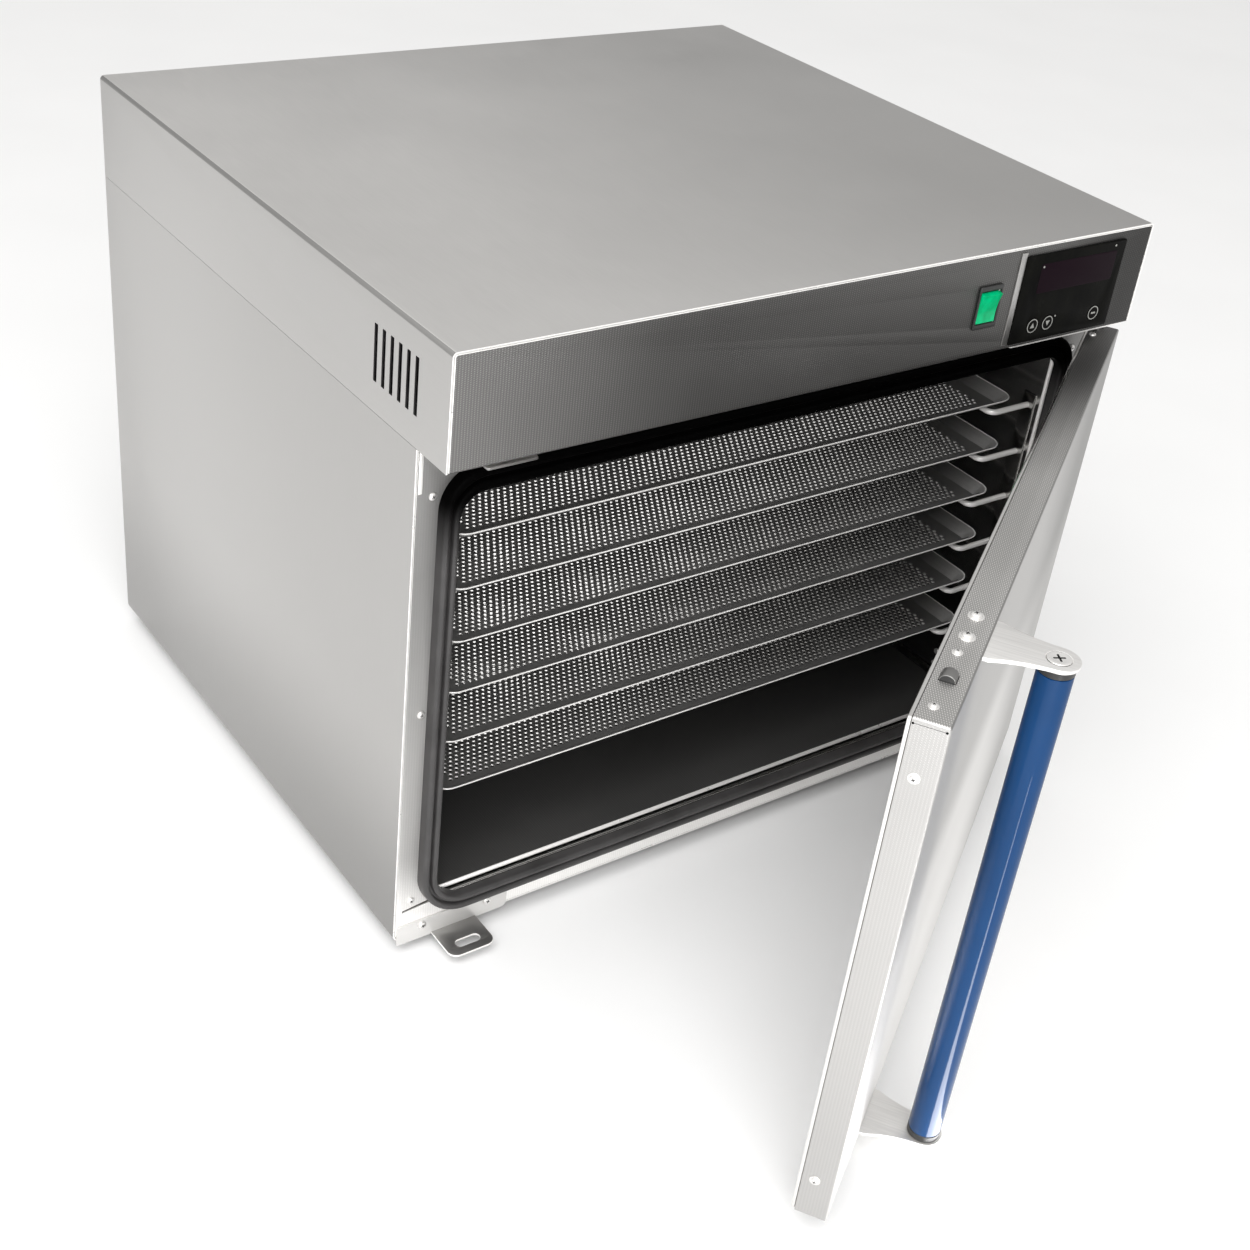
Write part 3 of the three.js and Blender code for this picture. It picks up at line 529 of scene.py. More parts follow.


# A fade is (axis, place, place, factor, factor): the tone's factor runs from the first to the second. Every
# fade here is painted light and shade.
# Hood top: painted reflection, darker towards the right and lighter towards the back.
casing = brushed("casing_satin", 0.74, 0.36, fades=[(X, -340, 340, 1.0, 0.72), (Y, -336, 294, 1.0, 1.2)])
# Darker copy of the casing for the upright sides: painted shade, deepest near the floor and easing towards
# the back.
casing_upright = brushed("casing_satin_upright", 0.49, 0.38, grain=(900, 900, 24),
                         fades=[(Y, -294, 294, 0.97, 1.15), (Z, 20, 220, 0.68, 1.0)])
# Darker copy for the hood's upright sides: painted shade, lighter towards the back.
hood_side = brushed("hood_side", 0.525, 0.36, grain=(900, 24, 900), fades=[(Y, -336, 294, 0.96, 1.1)])
# Dark finish for the fascia's lower edge: painted shade under it.
fascia_foot_painted_shade = brushed("fascia_foot_painted_shade", 0.14, 0.5)
# Darker finish for the hood's two top bends: a painted shadow line.
hood_bend_painted_shade = brushed("hood_bend_painted_shade", 0.36, 0.36, grain=(900, 24, 900))
# Door face: painted reflection, lighter low down, darker towards the top and towards the hinge end.
door_satin = brushed("door_satin", 0.70, 0.48, grain=(900, 900, 24), turn=DOOR_ANGLE,
                     fades=[(X, -260, 60, 1.0, 0.62), (Z, 120, 230, 1.08, 1.0), (Z, 230, 330, 1.0, 0.66)])
# Bare steel of the cut and bent edges, made bright and partly diffuse: a painted highlight line along them.
edge_bright = polished("cut_edge_highlight", 0.98, 0.25, metal=0.45)
# Fascia: painted reflection, lighter at the left end, darker towards the right.
linen_front = linen("linen_front", 0.20, 0.5, "x", contrast=0.7, depth=0.1,
                    fades=[(X, -360, -150, 1.3, 0.95), (X, 220, 350, 1.0, 0.42)])
# Front frame: painted light, brighter towards the bottom.
linen_frame = linen("linen_frame", 0.30, 0.45, "x", contrast=0.2, metal=0.5,
                    fades=[(Z, 100, 400, 1.6, 0.82), (Z, 20, 100, 2.1, 1.0)])
# Chamber floor toned dark: painted shade inside the chamber.
linen_floor = linen("linen_floor", 0.135, 0.4, "flat", depth=0.03, metal=0.7)
# Door's top rim: painted shade, darker towards the hinge end.
linen_door_top = linen("linen_door_top", 0.66, 0.45, "flat", turn=DOOR_ANGLE, contrast=0.7,
                       fades=[(X, -150, 20, 1.0, 0.3), (X, -230, -150, 1.0, 0.9)])
linen_door_side = linen("linen_door_side", 0.55, 0.45, "y", turn=DOOR_ANGLE, contrast=0.16)
mirror = polished("chamber_mirror", 0.5, 0.14)
bright = polished("bright_steel", 0.82, 0.18)
# Plated wire made near-white and mostly diffuse: partly its own brightness, partly a painted highlight.
wire_bright = polished("wire_bright", 0.99, 0.2, metal=0.12)
# Tray sheet: painted shade, darker on the lower trays and on the top tray under the hood.
tray_sheet = used_aluminium("tray_sheet", 0.36, 0.4, metal=0.55,
                            fades=[(Z, 130, 300, 0.65, 1.0), (Z, 345, 382, 1.0, 0.65)])
# Right-hand tray slopes: painted highlight near the front, painted shade further back and on the lower trays.
tray_end = used_aluminium("tray_end", 0.62, 0.32, metal=0.6,
                          fades=[(Y, -272, -205, 1.0, 0.25), (Z, 130, 300, 0.7, 1.0)])
# Near-white, mostly diffuse finish: painted highlight on the trays' rolled rims and the liner's right-hand
# hem.
tray_rim = polished("tray_rim", 0.99, 0.2, metal=0.15)
# Lighter hole walls: painted highlight that makes each hole a bright dot; darker on the top tray as painted
# shade.
tray_hole = polished("tray_hole_wall", 0.78, 0.3, metal=0.8, fades=[(Z, 345, 382, 1.0, 0.6)])
# Rubber: painted shade darkens it towards the top, over the seal's top run, in colour and sheen.
rubber = moulded("seal_rubber", (0.046, 0.044, 0.044), 0.42, fades=[(Z, 380, 440, 1.0, 0.02)])
foot_rubber = moulded("foot_rubber", (0.03, 0.03, 0.03), 0.6)
black = moulded("black_plastic", (0.02, 0.02, 0.02), 0.4)
screw_steel = polished("screw_steel", 0.85, 0.24, metal=0.7)
# Dark satin: painted shade on the bracket tabs, the strike plate's edges and the door's top front bend. The
# next finish is a lighter, less metallic copy for the brackets' upright plates: painted light.
satin_painted_shade = brushed("satin_painted_shade", 0.36, 0.4)
upright_plate = brushed("upright_plate", 0.72, 0.42, metal=0.6)
catch_grey = brushed("catch_cast", 0.3, 0.42, grain=(200, 200, 200), turn=DOOR_ANGLE)
wool = moulded("mineral_wool", (0.11, 0.10, 0.085), 0.95, grain=500, depth=0.6, sheen=0.1)


def blue_coating():
    """Glossy blue coating with faint orange peel."""
    made = Finish("handle_blue")
    peel = made.noise((260, 260, 160), 2.0)
    cloud = made.noise((16, 16, 9), 3.0)
    made.set(Base_Color=made.tint(cloud, (0.001, 0.032, 0.110), (0.002, 0.041, 0.138)))
    made.set(Roughness=made.blend(cloud, 0.3, 0.4), Specular_IOR_Level=0.02)
    made.set(Coat_Weight=0.5, Coat_Roughness=0.04)
    made.bump(peel, 0.008)
    return made.material


def green_lens():
    """Tinted rocker lens with a cloudy tint and an even glow."""
    made = Finish("lens_green")
    cloud = made.noise((90, 90, 60), 3.0)
    color = made.tint(cloud, (0.0, 0.24, 0.085), (0.0, 0.42, 0.17))
    made.set(Base_Color=color, Roughness=0.2, Specular_IOR_Level=0.12, Coat_Weight=0.1)
    made.set(Emission_Color=color, Emission_Strength=0.35)
    made.bump(made.noise((500, 500, 500), 2.0), 0.01)
    return made.material


def panel_gloss():
    """Black glossy front foil with faint smears."""
    made = Finish("panel_gloss")
    smears = made.noise((60, 60, 25), 5.0, 0.65)
    made.set(Base_Color=made.tint(smears, (0.003, 0.003, 0.003), (0.006, 0.006, 0.005)))
    made.set(Roughness=made.blend(smears, 0.16, 0.3), Specular_IOR_Level=0.02)
    made.bump(made.noise((900, 900, 900), 2.0), 0.004)
    return made.material


def printed(name, color, sheen=0.5):
    """Print on the panel foil, a little uneven in its ink."""
    made = Finish(name)
    ink = made.noise((1500, 1500, 1500), 3.0)
    made.set(Base_Color=made.tint(ink, shade(color, 0.75), color), Roughness=made.blend(ink, 0.4, 0.55))
    made.set(Specular_IOR_Level=sheen)
    return made.material


def green_board():
    """Circuit board with uneven green lacquer."""
    made = Finish("circuit_board")
    tracks = made.noise((300, 300, 300), 1.0)
    made.set(Base_Color=made.tint(tracks, (0.01, 0.10, 0.03), (0.03, 0.22, 0.07)))
    made.set(Roughness=made.blend(tracks, 0.3, 0.5))
    return made.material


blue = blue_coating()
green = green_lens()
gloss = panel_gloss()
print_light = printed("panel_print", (0.32, 0.32, 0.30))
window = printed("display_window", (0.008, 0.003, 0.006), sheen=0.04)
board = green_board()


# ---- Casing ----
def stadium(x, y, length, width):
    """Slot with round ends, along the first axis."""
    half_long, half_wide = length / 2, width / 2
    return rounded(x - half_long, x + half_long, y - half_wide, y + half_wide, half_wide * 0.98)


def add_casing():
    shell = plate(folded(BODY_BEND, BOTTOM, SHELL_TOP), [], FRONT, REAR, facing)
    # End faces take the bright edge finish: a painted highlight line.
    paint_ends(shell, FRONT, REAR, 1)
    seats = []
    for name in FEET:
        x0, x1, y0, y1, _, _ = span(name)
        profile = [(SEAT_RADIUS, BOTTOM - 1), (SEAT_RADIUS, BOTTOM + SEAT_DEPTH)]
        seats.append(lathe(profile, lying, (x0 + x1) / 2, (y0 + y1) / 2, 48))
    shell = cut(shell, seats)
    remake("body_shell", shell, "cabinet", "casing_steel", [casing_upright, edge_bright])

    cover = plate(folded(HOOD_BEND, TOP, SEAM), [], HOOD_FRONT, REAR, facing)
    # End faces take the bright edge finish: a painted highlight line.
    paint_ends(cover, HOOD_FRONT, REAR, 1)
    slots = []
    for i in range(VENT_SLOTS):
        middle = FRONT + VENT_START + i * VENT_PITCH
        outline = rounded(middle - VENT_WIDTH / 2, middle + VENT_WIDTH / 2, SEAM + 25, SEAM + 71, 0.6, 2)
        for side in (LEFT, RIGHT):
            # Slot walls take finish 2, black: painted shade in the vents.
            slots.append(plate(outline, [], side - 5, side + 5, sideways, edge=0.01, finish=2))
    cover = cut(cover, slots)
    # Upright sides take finish 3 and the two top bends finish 4, darker copies of the top: painted shade.
    for number, corners in enumerate(cover.faces):
        xs = [abs(cover.points[i].x) for i in corners]
        zs = [cover.points[i].z for i in corners]
        if cover.finishes[number] == 0 and min(xs) > RIGHT - 0.1:
            cover.finishes[number] = 3
        elif cover.finishes[number] == 0 and min(xs) > RIGHT - HOOD_BEND * 0.7 and min(zs) > TOP - HOOD_BEND:
            cover.finishes[number] = 4
    finishes = [casing, edge_bright, black, hood_side, hood_bend_painted_shade]
    remake("hood_cover", cover, "cabinet", "casing_steel", finishes)

    x0, x1, y0, y1, z0, z1 = span("hood_floor")
    floor = plate(rounded(x0, x1, y0, y1, 1), [], z0, z1, lying)
    remake("hood_floor", floor, "cabinet", "casing_steel", [casing])


def paint_ends(shape, low, high, finish, reach=0.6):
    """Gives the faces at both ends along Y another finish."""
    for number, face in enumerate(shape.faces):
        ys = [shape.points[i].y for i in face]
        if max(ys) < low + reach or min(ys) > high - reach:
            shape.finishes[number] = finish


def add_fascia():
    x0, x1, y0, y1, z0, z1 = span("fascia")
    corner = HOOD_BEND - SHEET
    sx0, sx1, _, _, sz0, sz1 = span("switch_bezel")
    px0, px1, _, _, pz0, pz1 = span("controller_panel")
    holes = [
        rounded(sx0 + 2.0, sx1 - 2.0, sz0 + 2.0, sz1 - 2.0, 1),
        rounded(px0 + 3, px1 - 3, pz0 + 3, pz1 - 3, 1),
    ]
    outline = rounded(x0, x1, z0, z1, [1, 1, corner, corner])
    finishes = [linen_front, edge_bright, fascia_foot_painted_shade]
    fascia = plate(outline, holes, y0, y1, facing, edge=0.7, steps=3, edge_finish=1)
    # The lower edge takes a dark finish: painted shade under the fascia.
    for number, face in enumerate(fascia.faces):
        if max(fascia.points[i].z for i in face) < z0 + 1.5:
            fascia.finishes[number] = 2
    remake("fascia", fascia, "cabinet", "linen_steel", finishes)


LOUVRE_HOOD = [(-0.4, -1.8), (2.6, -1.8), (3.0, -1.2), (2.2, 1.4), (0.6, 3.4), (-0.4, 3.8)]


def add_rear_panel():
    x0, x1, y0, y1, z0, z1 = span("rear_panel")
    gx0, gx1, _, _, gz0, gz1 = span("cable_gland")
    gland_x, gland_z = (gx0 + gx1) / 2, (gz0 + gz1) / 2
    corner, top_corner = BODY_BEND - SHEET, HOOD_BEND - SHEET
    louvre_heights = [SEAM + 16.5 + i * LOUVRE_PITCH for i in range(LOUVRES)]
    holes = [stadium(LOUVRE_X, z, LOUVRE_LENGTH, 5) for z in louvre_heights]
    holes.append(circle(9, 32, gland_x, gland_z))
    outline = rounded(x0, x1, z0, z1, [corner, corner, top_corner, top_corner])
    shape = plate(outline, holes, y0, y1, facing, edge_finish=1)
    for z in louvre_heights:
        hood = [(y1 + u, z + w) for u, w in LOUVRE_HOOD]
        shape.join(plate(hood, [], LOUVRE_X - 51, LOUVRE_X + 51, sideways, edge=0.2))
    remake("rear_panel", shape, "cabinet", "casing_steel", [casing_upright, edge_bright], flat_front=True)
    edges = [(x, z) for x in (x0 + 9, x1 - 9) for z in (30, 175, 320, SEAM - 14, TOP - 20)]
    edges += [(x, z) for x in (-180, 0, 180) for z in (z0 + 9, z1 - 9)]
    fasteners("rear_screws", [(Vector((x, y1, z)), "back") for x, z in edges], 3.6, "cabinet")


# ---- Fasteners ----
CORNER_SIGNS = ((-1, -1), (1, -1), (1, 1), (-1, 1))


def pan_head(radius, recess=True):
    """Pan head with a cross recess, standing on z = 0, and a short shank below it."""
    height = radius * 0.62
    shank = radius * 0.45
    profile = [(shank, -radius * 0.9), (shank, 0), (radius * 0.98, 0), (radius, height * 0.18)]
    for i in range(1, 7):
        turn = i / 7 * math.pi / 2
        profile.append((radius * math.cos(turn) ** 0.8, height * (0.3 + 0.7 * math.sin(turn))))
    profile.append((radius * 0.12, height))
    head = lathe(profile, lying, sides=28)
    if not recess:
        return head
    # The cross recess takes finish 1, black: painted shade in the recess.
    cross = []
    for along in (True, False):
        long, wide = radius * 0.52, radius * 0.13
        half = (long, wide) if along else (wide, long)
        top = [(half[0] * s, half[1] * t) for s, t in CORNER_SIGNS]
        low = [(half[0] * 0.55 * s, half[1] * 0.55 * t) for s, t in CORNER_SIGNS]
        sections = [[(u, v, height * 0.35) for u, v in low], [(u, v, height * 1.3) for u, v in top]]
        cross.append(loft(sections, finish=1))
    return cut(cut(head, cross[:1]), cross[1:])


def ringed_head(radius):
    """Low head inside a thin flat washer ring."""
    profile = [(1.45, 0), (1.45, 0.10), (1.38, 0.16), (0.9, 0.16)]
    washer = lathe([(radius * r, radius * height) for r, height in profile], lying, sides=36)
    head = pan_head(radius).moved(Matrix.Translation((0, 0, radius * 0.13)))
    return washer.join(head)


TURNS = {
    "front": Matrix.Rotation(math.radians(90), 4, "X"),
    "back": Matrix.Rotation(math.radians(-90), 4, "X"),
    "left": Matrix.Rotation(math.radians(-90), 4, "Y"),
    "right": Matrix.Rotation(math.radians(90), 4, "Y"),
    "up": Matrix(),
    "down": Matrix.Rotation(math.radians(180), 4, "X"),
}


def fasteners(name, places, radius, body, door=False, head=pan_head):
    """Identical fasteners as one piece; each place is (point, the way its head faces)."""
    model = head(radius)
    shape = Shape()
    for number, (point, direction) in enumerate(places):
        spin = Matrix.Rotation(math.radians(17 + 53 * number), 4, "Z")
        shape.join(model.moved(Matrix.Translation(point) @ TURNS[direction] @ spin))
    piece(name, shape, body, "bright_steel", [screw_steel, black], door=door, sharp=35)


# ---- Front frame, seal and chamber ----
CHAMBER_CORNER = 18
BACK_BEND = 6  # between the chamber's walls and its back
LINER = 1
lx0, lx1, ly0, ly1, lz0, lz1 = span("chamber_liner")


def chamber_outline(outset, steps=10):
    """Rounded rectangle of the chamber wall; outset is counted from its inner face."""
    reach = LINER - outset
    return rounded(lx0 + reach, lx1 - reach, lz0 + reach, lz1 - reach, CHAMBER_CORNER + outset, steps)


FRAME_SLIT = [(-352, 32.4), (-324, 34.6), (-319, 35.0), (-319, 38.6), (-324, 38.2), (-352, 34.6)]
FRAME_SCREW_X = 344.5
FRAME_SCREW_HEIGHTS = (441.8, 242, 44.4)
FLANGE_SPAN = (-357.3, -353.9, 446, 483.4)  # end of the body's side flange, seen under the hood
CHAMBER_SCREW_Y = -241
CHAMBER_SCREW_HEIGHTS = (70, 55)


def add_front_frame():
    x0, x1, y0, y1, z0, z1 = span("front_frame")
    corner = BODY_BEND - SHEET
    outline = rounded(x0, x1, z0, z1, [corner, corner, 1, 1])
    shape = plate(outline, [chamber_outline(LINER + GAP), FRAME_SLIT], y0, y1, facing, edge_finish=1)
    remake("front_frame", shape, "cabinet", "linen_steel", [linen_frame, edge_bright])
    sides = [(side * FRAME_SCREW_X, z) for side in (-1, 1) for z in FRAME_SCREW_HEIGHTS]
    fasteners("frame_screws", [(Vector((x, FRONT, z)), "front") for x, z in sides], 3.4, "cabinet")
    # Drawn wholly in the bright edge finish: a painted highlight line at the flange's end.
    flange = plate(rounded(*FLANGE_SPAN, 0.5), [], FRONT - 0.9, FRONT, facing)
    piece("side_flange_end", flange, "cabinet", "casing_steel", [edge_bright])


def add_liner():
    bead = 2.0
    bead_centre = LINER - bead
    sections = [(chamber_outline(LINER), ly1), (chamber_outline(LINER), ly0)]
    for i in range(9):
        angle = math.radians(i / 8 * 180)
        outset = bead_centre + bead * math.cos(angle)
        sections.append((chamber_outline(outset), ly0 - bead * math.sin(angle)))
    sections += [(chamber_outline(bead_centre - bead), ly0 + 0.8), (chamber_outline(0), ly0 + 2)]
    sections += [(chamber_outline(0), ly1 - LINER - BACK_BEND)]
    for i in range(1, 6):
        turn = math.radians(90 * i / 5)
        inset = BACK_BEND * (1 - math.cos(turn))
        sections.append((chamber_outline(-inset), ly1 - LINER - BACK_BEND + BACK_BEND * math.sin(turn)))
    shape = loft(standing(sections))
    # The right-hand front hem takes the near-white rim finish: a painted highlight line.
    for number, face in enumerate(shape.faces):
        points = [shape.points[i] for i in face]
        if max(p.y for p in points) < ly0 + 1.5 and min(p.x for p in points) > lx1 - 6:
            shape.finishes[number] = 1
    remake("chamber_liner", shape, "cabinet", "bright_steel", [mirror, tray_rim])
    screws = [
        (Vector((x, CHAMBER_SCREW_Y, z)), direction)
        for x, direction in ((lx1 - LINER, "left"), (lx0 + LINER, "right")) for z in CHAMBER_SCREW_HEIGHTS
    ]
    fasteners("chamber_screws", screws, 3.2, "cabinet", head=lambda r: pan_head(r, recess=False))


def add_floor_plate():
    x0, x1, y0, y1, z0, z1 = span("floor_plate")
    thick, bend = 1.2, 2.2
    nose = arc(y0 + bend, z1 - bend, bend, 180, 90, 6)
    inner = arc(y0 + bend, z1 - bend, bend - thick, 90, 180, 6)
    profile = [(y0, z0)] + nose + [(y1, z1), (y1, z1 - thick)] + inner + [(y0 + thick, z0)]
    shape = plate(profile[::-1], [], x0, x1, sideways, edge=0.2)
    # The rounded front lip takes the bright edge finish: a painted highlight line.
    for number, face in enumerate(shape.faces):
        if max(shape.points[i].y for i in face) < y0 + bend + 0.1:
            shape.finishes[number] = 1
    remake("floor_plate", shape, "cabinet", "linen_steel", [linen_floor, edge_bright])


def add_gasket():
    """Seal with two round lips; its band is widest along the top."""
    x0, x1, y0, y1, z0, z1 = span("door_gasket")
    corner = 36
    lip = 2.9

    def lip_profile(centre, first, last):
        angles = np.linspace(first, last, 9)
        return [(centre - lip * math.cos(a), y0 + lip - lip * math.sin(a)) for a in angles]

    profile = [(0, y1), (0.2, y0 + 4.5)] + lip_profile(lip + 0.3, 0.15, 2.7)
    profile += [(6.4, y0 + 4.6), (8.1, y0 + 4.6)] + lip_profile(11.2, 0.45, 3.0)
    profile += [(14.3, y0 + 4.5), (14.5, y1)]
    sections = []
    for inset, y in profile:
        low_corner = corner + 10 - inset
        radii = [low_corner, low_corner, corner - inset, corner - inset]
        outline = rounded(x0 + inset, x1 - inset, z0 + 2 + inset * 1.07, z1 - inset * 1.5, radii, 14)
        sections.append((outline, y))
    seal = loft(standing(sections), ring=True)
    remake("door_gasket", seal, "cabinet", "black_rubber", [rubber], sharp=50)


# ---- Racks and trays ----
TRAYS = ["tray_%d" % (number + 1) for number in range(6)]
PITCH = 6.0
ROW = PITCH * math.sqrt(3) / 2
HOLE_ABOVE, HOLE_BELOW = 2.15, 1.55  # radius of a tray's hole at the sheet's two faces
RIM_INSIDE = [(12.0, 1.15), (11.2, 1.6), (10.5, 2.3), (6.0, 6.2), (2.2, 8.9), (1.4, 9.6), (1.0, 9.9)]
RIM_TOP = [(0.6, 10.0), (0.2, 9.85), (0.0, 9.5), (0.2, 9.0)]
RIM_OUTSIDE = [(1.2, 8.0), (5.2, 5.0), (9.7, 1.4), (10.6, 0.6), (11.6, 0.12)]


def add_rack(name, side):
    """Six wire runners with round corners, welded to two straps; side is -1 for the left."""
    x0, x1, y0, y1, z0, z1 = span(name)
    radius = 2.8
    inside, wall = (x1, x0 + 3.5) if side < 0 else (x0, x1 - 3.5)
    inside += side * radius
    front_leg = span("tray_1")[2] + (20 if side < 0 else 4)
    rear_leg = span("tray_1")[3] - 20
    bend = 7
    shape = Shape()
    for name_of_tray in TRAYS:
        z = max(span(name_of_tray)[4] - radius - GAP, z0 + radius)
        path = [(wall, front_leg, z)]
        for start, end, y in ((-90, 0, front_leg + bend), (0, 90, rear_leg - bend)):
            for u, v in arc(0, 0, bend, start, end, 8):
                path.append((inside + side * (bend - u), y + v, z))
        path.append((wall, rear_leg, z))
        shape.join(tube(path, radius, 14))
    for y in (front_leg, rear_leg):
        strap = plate(rounded(y - 8, y + 8, z0, z1, 1.5), [], wall - 1, wall + 1, sideways)
        shape.join(strap.painted(1))
    remake(name, shape, "cabinet", "bright_steel", [wire_bright, mirror], sharp=40)


def perforation(x0, x1, y0, y1):
    """Hexagon centres of a staggered hole pattern, with a closed ring of filled cells around it."""
    columns = int((x1 - x0) / PITCH)
    rows = int((y1 - y0) / ROW)
    cells = {}
    for j in range(-1, rows + 1):
        for i in range(-1, columns + 1):
            centre = (x0 + PITCH * i + (PITCH / 2 if j % 2 else 0), y0 + ROW * j)
            filled = i in (-1, columns) or j in (-1, rows)
            cells[i, j] = (centre, filled)
    return cells


def perforated_sheet(cells, outline, low, high, wide, narrow):
    """Perforated floor: returns the shape and the first index of its upper and lower outline."""
    shape = Shape()
    turns = [math.radians(30 + 60 * k) for k in range(6)]
    index = {cell: 6 * n for n, cell in enumerate(cells)}
    faces = []
    for i, j in cells:
        right = (i + 1, j)
        upper = (i + 1, j + 1) if j % 2 else (i, j + 1)
        left = (i, j + 1) if j % 2 else (i - 1, j + 1)
        h = index[i, j]
        if right in index:
            n = index[right]
            faces.append([h + 5, n + 3, n + 2, h])
        if upper in index:
            n = index[upper]
            faces.append([h, n + 4, n + 3, h + 1])
        if left in index:
            n = index[left]
            faces.append([h + 1, n + 5, n + 4, h + 2])
        if right in index and upper in index:
            faces.append([h, index[right] + 2, index[upper] + 4])
        if upper in index and left in index:
            faces.append([h + 1, index[upper] + 3, index[left] + 5])
        if cells[i, j][1]:
            faces.append([h + k for k in range(6)])
    used = set()
    for face in faces:
        used.update(zip(face, face[1:] + face[:1]))
    holes = {index[cell] + k for cell in cells if not cells[cell][1] for k in range(6)}
    after = {b: a for a, b in used if (b, a) not in used and a not in holes}
    start = min(after)
    rim = [start]
    while after[rim[-1]] != start:
        rim.append(after[rim[-1]])
    count = 6 * len(cells)
    flat = {}
    for cell, ((x, y), _) in cells.items():
        for k, turn in enumerate(turns):
            flat[index[cell] + k] = (math.cos(turn), math.sin(turn), x, y)
    ring = len(outline)

    def corner(i, radius, height):
        cosine, sine, x, y = flat[i]
        return (x + radius * cosine, y + radius * sine, height)

    loops = [[Vector((*p, 0)) for p in outline], [Vector(corner(i, wide, 0)) for i in rim]]
    triangles = tessellate_polygon(loops)
    margin = [[count + i if i < ring else rim[i - ring] for i in t] for t in triangles]
    for height, radius in ((high, wide), (low, narrow)):
        points = [corner(i, radius, height) for i in range(count)]
        points += [(x, y, height) for x, y in outline]
        shape.add(points, faces + margin)
    walls = []
    for cell, (_, filled) in cells.items():
        if not filled:
            h = index[cell]
            for k in range(6):
                n = h + (k + 1) % 6
                walls.append([h + k, n, n + count + ring, h + k + count + ring])
    # Hole walls take finish 2, lighter than the sheet: painted highlight dots.
    shape.faces.extend(walls)
    shape.finishes.extend([2] * len(walls))
    return shape, count, 2 * count + ring


def add_trays():
    """One mesh for the six trays: perforated floor, sloped sides and rolled rim."""
    x0, x1, y0, y1, z0, _ = span(TRAYS[0])
    corner = 16

    def ring(inset, z):
        radius = max(corner - inset, 5)
        outline = rounded(x0 + inset, x1 - inset, y0 + inset, y1 - inset, radius, 10)
        return [(u, v, z) for u, v in outline]

    floor_inset = 13.0
    cells = perforation(x0 + 24, x1 - 24, y0 + 21, y1 - 21)
    outline = [(u, v) for u, v, _ in ring(floor_inset, 0)]
    shape, top_start, low_start = perforated_sheet(cells, outline, z0, z0 + 1, HOLE_ABOVE, HOLE_BELOW)
    profile = RIM_INSIDE + RIM_TOP + RIM_OUTSIDE
    skirt = loft([ring(inset, z0 + rise) for inset, rise in profile], caps=False)
    count = len(outline)
    # Rim bands take finish 1, a painted highlight line; the right-hand slopes take finish 3, painted
    # highlight and shade.
    rim_bands = range(len(RIM_INSIDE) - 2, len(RIM_INSIDE) + len(RIM_TOP))
    for number, face in enumerate(skirt.faces):
        band = number // count
        if band in rim_bands:
            skirt.finishes[number] = 1
        elif band < rim_bands[0] and min(skirt.points[i].x for i in face) > x1 - floor_inset:
            skirt.finishes[number] = 3
    start = len(shape.points)
    shape.join(skirt)
    last = start + (len(profile) - 1) * count
    for i in range(count):
        j = (i + 1) % count
        shape.faces.append([top_start + i, top_start + j, start + j, start + i])
        shape.faces.append([last + i, last + j, low_start + j, low_start + i])
        shape.finishes.extend([0, 0])
    mesh = dressed(build_mesh("tray_sheet", shape, 40), [tray_sheet, tray_rim, tray_hole, tray_end])
    for name, letter in zip(TRAYS, "abcdef"):
        lift = (span(name)[4] - z0) * MM
        add_object(name + "_fine", mesh, "tray_" + letter, name, lift)


# ---- Controls ----
# Three small light grey dots on the panel face.
PANEL_DOTS = ((253.3, 507.2, 0.8), (223, 556.8, 1.0), (311.8, 564.3, 1.0))  # x, z and radius


